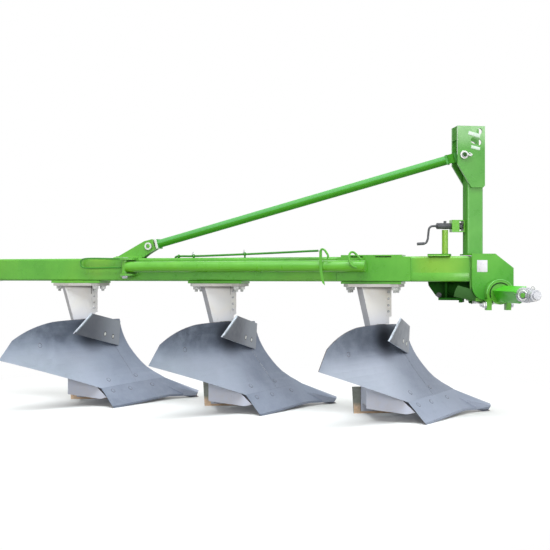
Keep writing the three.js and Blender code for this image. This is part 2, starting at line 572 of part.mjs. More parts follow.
// frog: plate beside the landside, cheek behind the share's wing, and the plate between them
const frogForm = (() => {
  const wall = 10;
  const corner = { x: -817, y: -283 };
  const end = { x: -560, y: -402 };
  const reach = Math.hypot(end.x - corner.x, end.y - corner.y);
  const landSide = box([-790, -225], [-28, -16], [14, 185]);
  const cheek = uprightPlate(outline([[0, 68], [reach - 60, 48], [reach, 62], [reach, 190], [0, 190]]), [0, wall])
    .rotateZ(Math.atan2(end.y - corner.y, end.x - corner.x)).translate(corner.x, corner.y, 0);
  const between = box([-784, -774], [-296, -17], [62, 185]);
  return cut(join(landSide, between, cheek), frontOfSurface);
})();
const landsideForm = cut(uprightPlate(outline([[-225, 0], [-828, 0], [-838, 155], [-225, 155]]), [-15.7, -2]),
  frontOfSurface);
// trash board: a flat sheet that reaches out from the top of the shin
const trashForm = (() => {
  const root = surfacePoint(350, 94).add(new THREE.Vector3(7.3, 0, 0));
  const from = (x, y, z) => root.clone().add(new THREE.Vector3(x, y, z));
  const low = [root, from(-235, -469, 109)];
  const high = [from(9, 4, 158), from(-140, -355, 224)];
  const at = (u, v) => low[0].clone().lerp(low[1], u).lerp(high[0].clone().lerp(high[1], u), v);
  return shell(at, { from: 0, to: 1, count: 4 }, { from: 0, to: 1, count: 4 }, [-4, 4]);
})();

// pads of the beam and flanges of the legs are in line with the beam, the bodies with the travel
const pad = { x: [-186, 155], y: [-72, 72], z: [clearance - 13, clearance - seatGap] };
const legFlange = outline([[-170, -70], [-128, -138], [-20, -138], [96, -70], [138, -70], [150, -58], [150, 68],
  [-170, 68]]);
['front', 'middle', 'rear'].forEach((place, i) => {
  const body = new THREE.Group();
  body.position.set(-i * bodySpacing, i * furrowWidth, 0);
  plough.add(body);
  const seat = new THREE.Group();
  seat.position.set(-735, -168, 0);
  seat.rotation.z = beamYaw;
  body.add(seat);
  add(seat, `beam_pad_${place}`, box(pad.x, pad.y, pad.z), greenPaint);
  add(seat, `leg_flange_${place}`, flatPlate(legFlange, [leg.top + seatGap, pad.z[0] - seatGap]), zincSteel);
  add(body, `leg_${place}`, legForm, legGrey);
  add(body, `frog_${place}`, frogForm, legGrey);
  add(body, `landside_${place}`, landsideForm, bodySteel);
  add(body, `share_${place}`, shareForm, bodySteel);
  add(body, `shin_${place}`, shinForm, bodySteel);
  add(body, `mouldboard_${place}`, mouldboardForm, bodySteel);
  add(body, `trash_board_${place}`, trashForm, bodySteel);
});

// ---- the part's own frame: centred over its footprint, standing on the ground ----
plough.updateMatrixWorld(true);
const bounds = new THREE.Box3().setFromObject(plough, true);
const centre = bounds.getCenter(new THREE.Vector3());
plough.position.set(-centre.x, -centre.y, -bounds.min.z);

export default plough;
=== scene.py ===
import bpy, bmesh, math
from bmesh.types import BMEdge, BMVert
from mathutils import Matrix, Vector


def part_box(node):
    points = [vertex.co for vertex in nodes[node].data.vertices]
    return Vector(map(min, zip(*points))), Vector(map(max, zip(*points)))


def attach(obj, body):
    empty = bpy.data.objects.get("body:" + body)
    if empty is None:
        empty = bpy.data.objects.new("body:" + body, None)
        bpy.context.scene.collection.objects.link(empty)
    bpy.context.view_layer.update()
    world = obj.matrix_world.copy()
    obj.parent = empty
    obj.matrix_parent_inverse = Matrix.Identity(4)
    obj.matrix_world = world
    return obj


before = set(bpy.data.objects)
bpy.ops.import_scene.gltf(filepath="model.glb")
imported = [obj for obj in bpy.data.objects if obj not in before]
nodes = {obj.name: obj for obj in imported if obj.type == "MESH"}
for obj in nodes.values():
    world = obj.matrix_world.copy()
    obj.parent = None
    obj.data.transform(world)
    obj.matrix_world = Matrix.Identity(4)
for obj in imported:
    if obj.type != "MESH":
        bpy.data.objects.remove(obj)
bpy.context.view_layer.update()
scene = bpy.context.scene
mm = 0.001
places = ["front", "middle", "rear"]

# where things are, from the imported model; a body's own frame starts on the ground under its share's point
layout = {"pointGap": 2, "beam": (-258, -392), "seat": (-735, -168), "leg": (-750, -199), "legTurn": 26,
        "armPivot": (-2041, -132)}

def middle(node):
    low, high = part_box(node)
    return (low + high) / 2

def point(x, y, z=0):  # millimetres to metres
    return Vector((x, y, z)) * mm

def shift(x, y, z=0):
    return Matrix.Translation(point(x, y, z))

sharePoint = Vector((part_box("share_front")[1].x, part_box("landside_front")[1].y + layout["pointGap"] * mm, 0))
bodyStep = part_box("share_middle")[0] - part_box("share_front")[0]
beamTurn = Matrix.Rotation(math.atan2(-bodyStep.y, -bodyStep.x), 4, "Z")
legTurn = Matrix.Rotation(math.radians(layout["legTurn"]), 4, "Z")
bodyFrames = [Matrix.Translation(sharePoint + bodyStep * i) for i in range(3)]
beamFrame = bodyFrames[0] @ shift(*layout["beam"]) @ beamTurn
seatFrames = [body @ shift(*layout["seat"]) @ beamTurn for body in bodyFrames]
legFrames = [body @ shift(*layout["leg"]) @ legTurn for body in bodyFrames]
bottomMm, topMm = [corner.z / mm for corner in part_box("main_beam")]  # heights of the beam's faces
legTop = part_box("leg_front")[1].z
armPivot = beamFrame @ point(*layout["armPivot"])
armHeight = middle("packer_arm").z
headPin, bracePin, shaft = middle("mast_head_pin"), middle("brace_rear_pin"), middle("cross_shaft")
cheekFace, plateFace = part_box("mast_head_plate_right")[0].y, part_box("headstock_plate_right")[0].y

def onBeam(u, v, z):  # a point in the beam's frame, in millimetres
    return beamFrame @ point(u, v, z)

def onBodies(x, y, z):  # the same point of each body
    return [body @ point(x, y, z) for body in bodyFrames]

print("frame loaded")

# shader maths
def tone(red, green, blue, alpha=1.0):  # a screen colour as the linear one that a shader takes
    linear = [c / 255 / 12.92 if c <= 10 else ((c / 255 + 0.055) / 1.055) ** 2.4 for c in (red, green, blue)]
    return (*linear, alpha)

def tones(**colours):
    return {name: tone(*colour) for name, colour in colours.items()}

class Value:  # a socket that can be reckoned with
    def __init__(self, finish, socket):
        self.finish, self.socket = finish, socket

    def calc(self, operation, *values):
        return self.finish.node("ShaderNodeMath", {"operation": operation}, dict(enumerate(values)))

    def __add__(self, other): return self.calc("ADD", self, other)
    def __radd__(self, other): return self.calc("ADD", other, self)
    def __sub__(self, other): return self.calc("SUBTRACT", self, other)
    def __rsub__(self, other): return self.calc("SUBTRACT", other, self)
    def __mul__(self, other): return self.calc("MULTIPLY", self, other)
    def __rmul__(self, other): return self.calc("MULTIPLY", other, self)

    def above(self, low, high):  # 0 below low, 1 above high
        return self.finish.node("ShaderNodeMapRange", {"interpolation_type": "SMOOTHSTEP"},
                {"Value": self, "From Min": low, "From Max": high})


class Finish:  # the node tree of a material, or of the world that is given
    def __init__(self, name, world=None):
        self.material = world or bpy.data.materials.new(name)
        self.material.use_nodes = True
        self.tree = self.material.node_tree
        self.tree.nodes.clear()
        self.place = None if world else self.node("ShaderNodeTexCoord", output="Object")

    def node(self, kind, settings=None, sockets=None, output=0):
        made = self.tree.nodes.new(kind)
        for name, value in (settings or {}).items():
            setattr(made, name, value)
        for name, value in (sockets or {}).items():
            if isinstance(value, Value):
                self.tree.links.new(value.socket, made.inputs[name])
            else:
                made.inputs[name].default_value = value
        return None if output is None else Value(self, made.outputs[output])

    def noise(self, scale, detail=3.0, roughness=0.55, place=None, distortion=0.0):
        return self.node("ShaderNodeTexNoise", None, {"Vector": place or self.place, "Scale": scale,
                "Detail": detail, "Roughness": roughness, "Distortion": distortion})

    def stretched(self, scale, turn=(0, 0, 0), place=None):
        return self.node("ShaderNodeMapping", None, {"Vector": place or self.place, "Scale": scale, "Rotation": turn})

    def mix(self, factor, a, b):
        return self.node("ShaderNodeMix", {"data_type": "RGBA"}, {0: factor, 6: a, 7: b}, output=2)

    def over(self, colour, look, *layers):  # layers of a factor and a tone's name, the last on top
        for factor, name in layers:
            colour = self.mix(factor, colour, look[name])
        return colour

    def edge(self, radius):  # 1 on an edge, 0 on a flat face
        rounded = self.node("ShaderNodeBevel", {"samples": 6}, {"Radius": radius})
        flat = self.node("ShaderNodeNewGeometry", output="Normal")
        likeness = self.node("ShaderNodeVectorMath", {"operation": "DOT_PRODUCT"},
                {0: rounded, 1: flat}, output="Value")
        return (1 - likeness).above(0.01, 0.18)

    def corner(self, reach):  # 1 deep in a corner, 0 in the open
        open_ = self.node("ShaderNodeAmbientOcclusion", {"samples": 6}, {"Distance": reach}, output="AO")
        return (1 - open_).above(0.35, 0.95)

    def closeTo(self, points, inner, outer):  # 1 within the inner distance of a point, 0 past the outer
        nearest = None
        for spot in points:
            away = self.node("ShaderNodeVectorMath", {"operation": "DISTANCE"},
                    {0: self.place, 1: tuple(spot)}, output="Value")
            nearest = away if nearest is None else nearest.calc("MINIMUM", nearest, away)
        return 1 - nearest.above(inner, outer)

    def height(self, vector=None):  # metres above the ground, or the Z of a vector
        return self.node("ShaderNodeSeparateXYZ", None, {0: vector or self.place}, output="Z")

    def upward(self):  # 1 on a face that looks up, -1 on one that looks down
        return self.height(self.node("ShaderNodeNewGeometry", output="Normal"))

    def seenRays(self):  # 1 for what the camera sees, also in a reflection or through glass
        seen = self.node("ShaderNodeLightPath", output="Is Camera Ray")
        for kind in ("Is Glossy Ray", "Is Transmission Ray"):
            seen = seen.calc("MAXIMUM", seen, self.node("ShaderNodeLightPath", output=kind))
        return seen

    def bump(self, height, distance):
        return self.node("ShaderNodeBump", None, {"Height": height, "Distance": distance})

    def done(self, **sockets):
        shader = self.node("ShaderNodeBsdfPrincipled", None,
                {name.replace("_", " "): value for name, value in sockets.items()})
        self.node("ShaderNodeOutputMaterial", None, {"Surface": shader}, output=None)
        return self.material


# green enamel: clouds and patches of tone, painted shade in the corners, dust on top and chips along the edges; some
# finishes add painted highlights, or painted shade low down and on what looks down
enamelLook = {**tones(base=(91, 171, 51), deep=(58, 140, 26), fresh=(118, 193, 76), sun=(136, 188, 44),
        grime=(18, 58, 8), dust=(140, 178, 96), chip=(66, 72, 62), bleach=(176, 196, 56)),
        "peel": 0.05 * mm, "edgeRadius": 3 * mm, "veil": 0.25, "rough": 0.27, "shine": 0.4, "dusty": 1.0,
        "bleached": [], "bleaching": 0.3,  # points round which a highlight is painted, and how much
        "sunk": None,  # heights between which the deep tone dies out: painted shade, darker towards the bottom
        "under": None, "faded": (-0.5, 0.25)}  # the tone of the painted shade on what looks down, and where it ends

def greenEnamel(name="green enamel", look=enamelLook):
    f = Finish(name)
    clouds = f.noise(2.3, 4).above(0.3, 0.7)
    patches = f.noise(11.0, 5, 0.6).above(0.35, 0.75)
    streaks = f.noise(9.0, 4, 0.6, f.stretched((6, 6, 0.5))).above(0.45, 0.8)
    edge = f.edge(look["edgeRadius"])
    corner = f.corner(50 * mm)
    dust = look["dusty"] * f.upward().above(0.6, 0.98) * f.noise(26.0, 6, 0.7).above(0.4, 0.75)
    chips = edge * f.noise(46.0, 5, 0.65).above(0.63, 0.67)
    colour = f.over(look["base"], look, (clouds * 0.55, "deep"), (patches * 0.22, "fresh"),
            (f.noise(1.7, 3, 0.5).above(0.45, 0.75) * 0.45, "sun"), (streaks * 0.12, "deep"))
    # painted highlight: the paint is lightened round the listed spots, in noisy patches
    if look["bleached"]:
        worn = look["bleaching"] * f.noise(5.0, 4).above(0.2, 0.6)
        colour = f.over(colour, look, (f.closeTo(look["bleached"], 20 * mm, 150 * mm) * worn, "bleach"))
    # painted shade: the deep tone darkens what lies below the given heights
    if look["sunk"]:
        colour = f.over(colour, look, ((1 - f.height().above(*look["sunk"])) * 0.85, "deep"))
    # painted shade on faces that look down
    if look["under"]:
        colour = f.over(colour, look, ((1 - f.upward().above(*look["faded"])) * 0.8, "under"))
    # painted shade in the corners, then dust on top, lighter worn edges and chips
    colour = f.over(colour, look, (corner * 0.85, "grime"), (dust * 0.28, "dust"), (edge * 0.3, "fresh"),
            (chips * 0.8, "chip"))
    peel = f.noise(420.0, 2, 0.5) * 0.6 + f.noise(90.0, 3, 0.5) * 0.9
    return f.done(Base_Color=colour, Roughness=look["rough"] + 0.1 * patches + 0.22 * dust + 0.15 * corner,
            Normal=f.bump(peel - 0.8 * chips, look["peel"]), Coat_Weight=look["veil"] * (1 - 0.6 * dust),
            Coat_Roughness=0.08, Specular_IOR_Level=look["shine"])

def enamel(name, colours, **other):  # the enamel in tones of its own: base, deep, fresh and sun
    own = {key: tone(*colour) for key, colour in zip(("base", "deep", "fresh", "sun"), colours)}
    return greenEnamel(name, {**enamelLook, **own, **other})

green = greenEnamel()
matt = {"veil": 0.0, "rough": 0.6, "shine": 0.12}
mattGreen = enamel("matt green enamel", [], **{**matt, "shine": 0.1})
deepGreen = enamel("deep matt enamel", [(70, 144, 42), (50, 120, 26), (84, 160, 52), (90, 150, 34)], **matt)
# a dark copy of the enamel as painted shade, for the bracket under the beam and the left clamp's bolts
shadedGreen = enamel("oily green enamel", [(16, 76, 4), (6, 44, 2), (34, 104, 12), (26, 84, 6)],
        dust=tone(44, 84, 24), grime=tone(2, 14, 1), **matt)
# a darker, greyer copy of the enamel as painted shade on the gusset; it also colours the end of the mast pin
gussetGreen = enamel("dusty shaded enamel", [(50, 92, 42), (34, 66, 26), (70, 112, 60), (62, 100, 44)],
        **{**matt, "shine": 0.15})
# a near-black green: painted shadow in the gap round the cross shaft
grease = enamel("old grease", [(10, 44, 8), (6, 26, 6), (20, 60, 14), (14, 48, 8)],
        dust=tone(30, 60, 24), grime=tone(2, 12, 2), veil=0.0, rough=0.5, shine=0.2)
# a pale green: painted highlight on the clamps' rims
paleGreen = enamel("worn green edge", [(116, 200, 100), (94, 176, 76), (160, 220, 150)])
# painted highlights at three spots on the beam
beamGreen = enamel("bleached beam enamel", [], bleaching=0.22,
        bleached=[onBeam(u, -70, z) for u, z in ((-110, 850), (-200, 850), (-2250, 886))])
# the headstock plate is painted deeper green towards the bottom, as shade
plateGreen = enamel("headstock enamel", [(84, 168, 42), (36, 132, 10)], sunk=(0.66, 0.86))
barGreen = enamel("vivid bar enamel", [(62, 188, 4), (48, 164, 2), (100, 210, 52), (96, 204, 26)],
        veil=0.1, rough=0.35)
# the arm tube's underside gets a painted shade tone
tubeGreen = enamel("arm tube enamel", [(98, 174, 58)], under=tone(98, 184, 0), veil=0.1, edgeRadius=0.3 * mm,
        dusty=0.1)
# the brace is painted teal on top, as reflection, and deep green below, as shade
braceGreen = enamel("brace tube enamel", [(92, 166, 92), (84, 156, 80), (104, 178, 104), (98, 172, 82)],
        under=tone(62, 150, 0), faded=(-0.1, 0.05), edgeRadius=0.3 * mm, dusty=0.0, peel=0.02 * mm,
        veil=0.0, rough=0.42, shine=0.15)
# a darker green for the stay loop and the release rod, as painted shade
loopGreen = enamel("stay loop enamel", [(48, 134, 22), (32, 108, 12), (66, 150, 34), (62, 140, 26)])
# a painted highlight along the upper part of the mast head's cheek
mastGreen = enamel("mast enamel", [(79, 155, 56), (58, 134, 37), (110, 184, 82), (104, 172, 62)],
        bleach=tone(172, 212, 166), bleaching=0.6, bleached=[(x, cheekFace, 1.62) for x in (1.21, 1.26, 1.31, 1.36)])
postGreen = enamel("olive post enamel", [(104, 164, 24), (76, 130, 14), (130, 184, 44), (150, 178, 34)])

# blue-grey body steel: brushed along the flow of the soil, painted lighter as a highlight between heights, with painted
# shade above that and in the corners
steelLook = {**tones(base=(138, 148, 168), dark=(112, 122, 142), pale=(168, 178, 194), polish=(186, 196, 212),
        soot=(52, 58, 72), stain=(124, 118, 120), rim=(76, 66, 62), shade=(26, 28, 38)),
        "flow": math.radians(41), "polished": (0.12, 0.28, 0.36, 0.48), "rubbed": 0.7, "sooty": 0.4,
        "metal": 0.45, "cornered": 0.85, "bright": [], "brightReach": (0.1, 0.44),
        "shaded": [], "reach": (0.02, 0.16)}

def bodySteel(name, look):
    f = Finish(name)
    clouds = f.noise(3.1, 5, 0.6, distortion=0.4).above(0.3, 0.72)
    mottle = f.noise(17.0, 6, 0.65).above(0.35, 0.75)
    speck = f.noise(160.0, 3, 0.6)
    brush = f.noise(2.2, 4, 0.6, f.stretched((3, 60, 60), place=f.stretched((1, 1, 1), (0, 0, look["flow"]))))
    brushed = brush.above(0.3, 0.7)
    stain = f.noise(7.5, 6, 0.7).above(0.55, 0.8)
    low, bright, dim, top = look["polished"]  # heights of the band that is painted lighter as a highlight
    level = f.height() + (f.noise(2.6, 4) - 0.5) * 0.09
    rubbed = level.above(low, bright) * (1 - level.above(dim, top))
    # the band is painted lighter only near the listed bright points
    if look["bright"]:
        rubbed = rubbed * f.closeTo(look["bright"], *look["brightReach"])
    # above the highlight band and in the corners the steel gets painted shade
    colour = f.over(look["base"], look, (clouds * 0.8, "dark"), (rubbed * look["rubbed"], "polish"),
            (level.above(dim + 0.04, top + 0.06) * look["sooty"], "soot"), (mottle * 0.25, "pale"),
            (brushed * 0.14, "pale"), (speck.above(0.55, 0.7) * 0.12, "dark"), (stain * 0.18, "stain"),
            (f.edge(3.5 * mm) * f.noise(30.0, 4).above(0.35, 0.65) * 0.16, "rim"),
            ((1.6 * f.corner(120 * mm)).above(0.05, 0.9) * look["cornered"], "soot"))
    if look["shaded"]:
        colour = f.over(colour, look, (f.closeTo(look["shaded"], *look["reach"]) * 0.9, "shade"))
    relief = brush * 0.5 + speck * 0.25 + f.noise(34.0, 4) * 0.5
    return f.done(Base_Color=colour, Metallic=look["metal"] + 0.15 * brushed,
            Roughness=0.36 + 0.16 * mottle + 0.1 * stain, Normal=f.bump(relief, 0.6 * mm))

def steel(name, colours, look=steelLook, **other):  # body steel in tones of its own: base, dark and pale
    own = {key: tone(*colour) for key, colour in zip(("base", "dark", "pale"), colours)}
    return bodySteel(name, {**look, **own, **other})

surfaceLook = {**steelLook, "rubbed": 0.0, "sooty": 0.0}
mouldLook = {**steelLook, **tones(polish=(198, 206, 224), soot=(64, 71, 85)), "sooty": 0.5,
        "polished": (0.0, 0.08, 0.29, 0.43), "shaded": onBodies(-690, -195, 446),
        "bright": onBodies(-960, -525, 270) + onBodies(-833, -439, 235)}
boardLook = {**steelLook, **tones(base=(147, 155, 169), dark=(135, 143, 157), pale=(168, 175, 186),
        polish=(162, 170, 185), soot=(110, 118, 132), shade=(56, 62, 76)),
        "rubbed": 0.1, "sooty": 0.0, "metal": 0.05, "cornered": 0.0,
        "shaded": onBodies(-756, -535, 459), "reach": (0.2, 0.5)}
# each body has its own copies of the steel: the front share and the front and rear mouldboards are painted lighter, the
# front board darker, and the share point's side painted darker on the front body and lighter on the others
shareSteel = {"rear": steel("share steel", [], surfaceLook),
        "front": steel("rubbed share steel", [(154, 164, 184), (139, 150, 170), (178, 186, 202)], surfaceLook)}
pointSteel = {"rear": steel("share point steel", [(156, 165, 184), (145, 154, 174), (172, 180, 198)], surfaceLook),
        "front": steel("rubbed share point steel", [(126, 134, 150), (117, 125, 141), (143, 150, 166)], surfaceLook)}
mouldSteel = {"rear": steel("pale mouldboard steel", [(150, 161, 182), (124, 135, 156)], mouldLook, rubbed=0.58),
        "middle": steel("mouldboard steel", [], mouldLook, rubbed=0.5),
        "front": steel("rubbed mouldboard steel", [(138, 147, 166), (122, 132, 151), (178, 186, 202)],
        mouldLook, rubbed=0.72, sooty=0.3)}
boardSteel = {"rear": steel("dull board steel", [], boardLook),
        "front": steel("rubbed board steel", [(123, 130, 143), (113, 120, 133), (138, 144, 154)], boardLook,
        shade=tone(72, 79, 94), reach=(0.05, 0.42))}
for finishes in (shareSteel, pointSteel, boardSteel):
    finishes["middle"] = finishes["rear"]
boardLip = steel("pale lip steel", [(150, 164, 172), (120, 134, 142), (184, 198, 204)], rubbed=0.2)

rimLook = tones(base=(66, 62, 64), rust=(98, 72, 54), bare=(120, 120, 122))

def cutEdge(name="cut edge", look=rimLook):
    f = Finish(name)
    rust = f.noise(24.0, 6, 0.7).above(0.4, 0.7)
    saw = f.noise(60.0, 3, 0.5, f.stretched((1, 1, 5)))
    colour = f.over(look["base"], look, (rust, "rust"), (f.noise(90.0, 4).above(0.55, 0.75) * 0.6, "bare"))
    return f.done(Base_Color=colour, Metallic=0.4, Roughness=0.5 + 0.25 * rust, Normal=f.bump(saw, 0.6 * mm))

rim = cutEdge()
brightRim = cutEdge("bright cut edge", tones(base=(176, 184, 196), rust=(150, 152, 160), bare=(214, 220, 228)))
darkRim = cutEdge("dark cut edge", tones(base=(48, 46, 50), rust=(80, 66, 56), bare=(92, 92, 96)))

# casting paint of the legs and frogs, splashed with soil near the ground, with painted shade in the corners and just
# under the leg's flange
legLook = tones(base=(232, 230, 229), cool=(214, 216, 228), warm=(226, 217, 206), mark=(120, 112, 104),
        soil=(150, 136, 118))

def legPaint(name="light grey casting paint", **own):
    look = {**legLook, **tones(**own)}
    f = Finish(name)
    clouds = f.noise(4.0, 4).above(0.3, 0.7)
    warm = f.noise(9.0, 5, 0.6).above(0.45, 0.75)
    scuffs = f.noise(30.0, 6, 0.75, f.stretched((1, 1, 0.25))).above(0.62, 0.74)
    splash = (1 - f.height().above(0.02, 0.5)) * f.noise(22.0, 6, 0.7).above(0.35, 0.7)
    low = 1 - (f.height() + (f.noise(5.0, 3) - 0.5) * 0.1).above(0.5, 0.66)
    # the mark tone is for scuffs and edge marks, and it also paints shade in the corners and just under the flange
    colour = f.over(look["base"], look, ((clouds * 0.5).calc("MAXIMUM", clouds * 0.5, low * 0.9), "cool"),
            (warm * (1 - low) * 0.5, "warm"), (splash * 0.3, "soil"), (scuffs * 0.4, "mark"),
            (f.corner(60 * mm) * 0.6, "mark"), (f.height().above(legTop - 20 * mm, legTop - 4 * mm) * 0.55, "mark"),
            (f.edge(4 * mm) * f.noise(50.0, 4).above(0.5, 0.62) * 0.7, "mark"))
    cast = f.noise(240.0, 4, 0.65) * 0.6 + f.noise(40.0, 3) * 0.8
    return f.done(Base_Color=colour, Roughness=0.42 + 0.2 * scuffs + 0.12 * clouds,
            Normal=f.bump(cast, 0.6 * mm), Coat_Weight=0.12)

legGrey = legPaint()
frogWhite = legPaint("pale lilac casting paint", base=(204, 208, 222), cool=(192, 198, 218), warm=(202, 201, 211),
        soil=(196, 191, 190))
# the leg's rear face is painted darker as shade
legEdge = legPaint("grey cut edge of the leg", base=(188, 188, 196), cool=(168, 170, 180), warm=(180, 174, 170))

landsideLook = tones(top=(134, 138, 130), foot=(236, 204, 172), dark=(78, 74, 66), scratch=(150, 150, 148))

def landsideSteel(look=landsideLook):
    f = Finish("worn landside")
    level = (f.height() + f.noise(14.0, 5, 0.6) * 0.04).above(0.05, 0.09)
    scratch = f.noise(12.0, 5, 0.7, f.stretched((1.5, 10, 40))).above(0.4, 0.75)
    colour = f.over(look["foot"], look, (level, "top"), (f.noise(18.0, 5).above(0.4, 0.75) * 0.5, "dark"),
            (scratch * 0.25, "scratch"))
    return f.done(Base_Color=colour, Metallic=0.3, Roughness=0.55 - 0.15 * scratch,
            Normal=f.bump(scratch + f.noise(80.0, 4), 0.6 * mm))

landside = landsideSteel()

zincLook = {**tones(base=(196, 198, 204), dull=(150, 152, 158), gold=(200, 192, 168), soot=(78, 76, 78),
        edge=(226, 228, 232)), "metal": 0.8}

def zincPlate(name="zinc plating", look=zincLook):
    f = Finish(name)
    spangle = f.node("ShaderNodeTexVoronoi", {"feature": "F1"}, {"Vector": f.place, "Scale": 160.0}, output="Color")
    grey = f.node("ShaderNodeSeparateColor", None, {0: spangle}, output=0)
    dull = f.noise(28.0, 5, 0.65).above(0.35, 0.7)
    # painted shade in the corners
    colour = f.over(look["base"], look, (dull * 0.7, "dull"), (grey * 0.2, "dull"),
            (f.noise(15.0, 3).above(0.5, 0.75) * 0.35, "gold"), (f.corner(20 * mm) * 0.8, "soot"),
            (f.edge(1.5 * mm) * 0.4, "edge"))
    return f.done(Base_Color=colour, Metallic=look["metal"], Roughness=0.3 + 0.2 * dull + 0.08 * grey,
            Normal=f.bump(f.noise(300.0, 3) * 0.5 + grey * 0.2, 0.2 * mm))

zinc = zincPlate()
whiteZinc = zincPlate("white zinc washer", {**zincLook, "metal": 0.2, **tones(
    base=(224, 226, 226), dull=(196, 198, 198), gold=(214, 212, 202), soot=(120, 120, 118))})

darkLook = tones(base=(82, 84, 88), worn=(138, 140, 142), black=(44, 44, 46))

def darkSteel(look=darkLook):
    f = Finish("dark crank steel")
    patches = f.noise(40.0, 5, 0.6).above(0.35, 0.7)
    colour = f.over(look["base"], look, (patches * 0.6, "black"), (f.edge(2 * mm) * 0.6, "worn"))
    return f.done(Base_Color=colour, Metallic=0.55, Roughness=0.4 + 0.2 * patches,
            Normal=f.bump(f.noise(260.0, 4), 0.3 * mm))

crankSteel = darkSteel()

labelLook = tones(base=(222, 218, 228), shade=(192, 190, 204), dirt=(150, 148, 148))

def blankLabel(name="blank white label", look=labelLook):
    f = Finish(name)
    soft = f.noise(30.0, 4).above(0.35, 0.7)
    colour = f.over(look["base"], look, (soft * 0.5, "shade"),
            (f.edge(2 * mm) * 0.5 + f.noise(120.0, 5).above(0.62, 0.7) * 0.4, "dirt"))
    return f.done(Base_Color=colour, Roughness=0.32 + 0.15 * soft, Normal=f.bump(f.noise(70.0, 2), 0.3 * mm))

label = blankLabel()
mastLabel = blankLabel("blank faded label", {**labelLook, **tones(base=(200, 218, 206), shade=(176, 204, 180))})
print("finishes made")

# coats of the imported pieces
smoothTurn = 0.86  # cosine of the turn up to which two faces are one surface

def coat(node, surface, rimFinish=None, share=0):  # surfaces under that share of the largest are rims
    mesh = nodes[node].data
    mesh.materials.clear()
    mesh.materials.append(surface)
    if rimFinish is None:
        return
    mesh.materials.append(rimFinish)
    work = bmesh.new()
    work.from_mesh(mesh)
    mark = work.faces.layers.int.new("first")
    for face in work.faces:
        face[mark] = face.index
    bmesh.ops.remove_doubles(work, verts=work.verts, dist=0.02 * mm)
    groups, seen = [], set()
    for start in work.faces:
        group = [] if start in seen else [start]
        seen.add(start)
        for face in group:  # grows while it is read
            for other in [other for edge in face.edges for other in edge.link_faces]:
                if other not in seen and other.normal.dot(face.normal) > smoothTurn:
                    seen.add(other)
                    group.append(other)
        groups.append((sum(face.calc_area() for face in group), group))
    largest = max(area for area, group in groups)
    for area, group in groups:
        if area < share * largest:
            for face in group:
                mesh.polygons[face[mark]].material_index = 1
    work.free()

def recoat(node, surface, chosen):  # another finish for the faces that are chosen by centre and normal
    piece = nodes[node]
    piece.data.materials.append(surface)
    for polygon in piece.data.polygons:
        normal = (piece.matrix_world.to_3x3() @ polygon.normal).normalized()
        if chosen(piece.matrix_world @ polygon.center, normal):
            polygon.material_index = len(piece.data.materials) - 1

coats = {"beam_front_bracket": shadedGreen, "headstock_top_plate": mattGreen, "main_beam": beamGreen,
        "headstock_plate_right": plateGreen, "packer_arm": tubeGreen, "brace_tube": braceGreen,
        "adjuster_post": postGreen, "arm_stay_loop": loopGreen, "mast_tube": mastGreen,
        "mast_head_plate_right": mastGreen, "mast_head_plate_left": mastGreen, "mast_head_web": deepGreen,
        "shaft_end_right": barGreen, "shaft_end_left": barGreen, "crank_spindle": crankSteel,
        "brace_rear_pin": zinc, "mast_head_pin": zinc, "headstock_pivot_pin": zinc, "link_pin_right": zinc,
        "link_pin_left": zinc}
for node in nodes:
    coat(node, coats.get(node, green))
for place in places:
    for kind, surface, edge, share in (("mouldboard", mouldSteel[place], rim, 0.1),
            ("shin", mouldSteel[place], rim, 0.2), ("share", shareSteel[place], rim, 0.08),
            ("trash_board", boardSteel[place], brightRim, 0.1),
            ("frog", frogWhite, darkRim, 0.12), ("landside", landside, darkRim, 0.1),
            ("leg", legGrey, None, 0), ("leg_flange", legGrey, None, 0)):
        coat(f"{kind}_{place}", surface, edge, share)

facets = {"foot": (topMm + 13) * mm, "rearward": legFrames[0].to_3x3() @ Vector((-1, 0, 0)),
        "pointSide": Vector((0.17, -0.97, 0.17)), "rearFaces": 0.8, "pointFaces": 0.96}
recoat("adjuster_post", deepGreen, lambda centre, normal: centre.z < facets["foot"])  # its foot is dull
recoat("mast_tube", deepGreen, lambda centre, normal: normal.x < -facets["rearFaces"])  # and the mast's rear wall, as painted shade
for place in places:  # the rear face of a leg gets painted shade, and the side facet of a share's point a tone of its own: painted shade on the front body, painted light on the others
    recoat(f"leg_{place}", legEdge, lambda centre, normal: normal.dot(facets["rearward"]) > facets["rearFaces"])
    recoat(f"share_{place}", pointSteel[place],
           lambda centre, normal: normal.dot(facets["pointSide"]) > facets["pointFaces"])
print("packed pieces coated")

# making pieces: sizes and profiles are in millimetres, places are points or frames in metres
smoothEdge = math.radians(35)
rightOf = Vector((0, -1, 0))
beamRight = beamFrame.to_3x3() @ rightOf
turnedOver = Matrix.Rotation(math.pi, 4, "X")

def finished(name, work, body, slot, *materials):
    bmesh.ops.remove_doubles(work, verts=work.verts, dist=0.01 * mm)
    bmesh.ops.recalc_face_normals(work, faces=work.faces)
    mesh = bpy.data.meshes.new(name)
    for face in work.faces:
        face.smooth = True
    for edge in work.edges:
        edge.smooth = len(edge.link_faces) == 2 and edge.calc_face_angle(0) < smoothEdge
    work.to_mesh(mesh)
    work.free()
    for material in materials:
        mesh.materials.append(material)
    piece = bpy.data.objects.new(name, mesh)
    scene.collection.objects.link(piece)
    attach(piece, body)

def only(kind, parts):
    return [part for part in parts if isinstance(part, kind)]

def settle(work, before, at, material=0):  # the faces made since get their finish and go to their frame
    faces = [face for face in work.faces if face not in before]
    for face in faces:
        face.material_index = material
    bmesh.ops.transform(work, matrix=at, verts=list({vert for face in faces for vert in face.verts}))

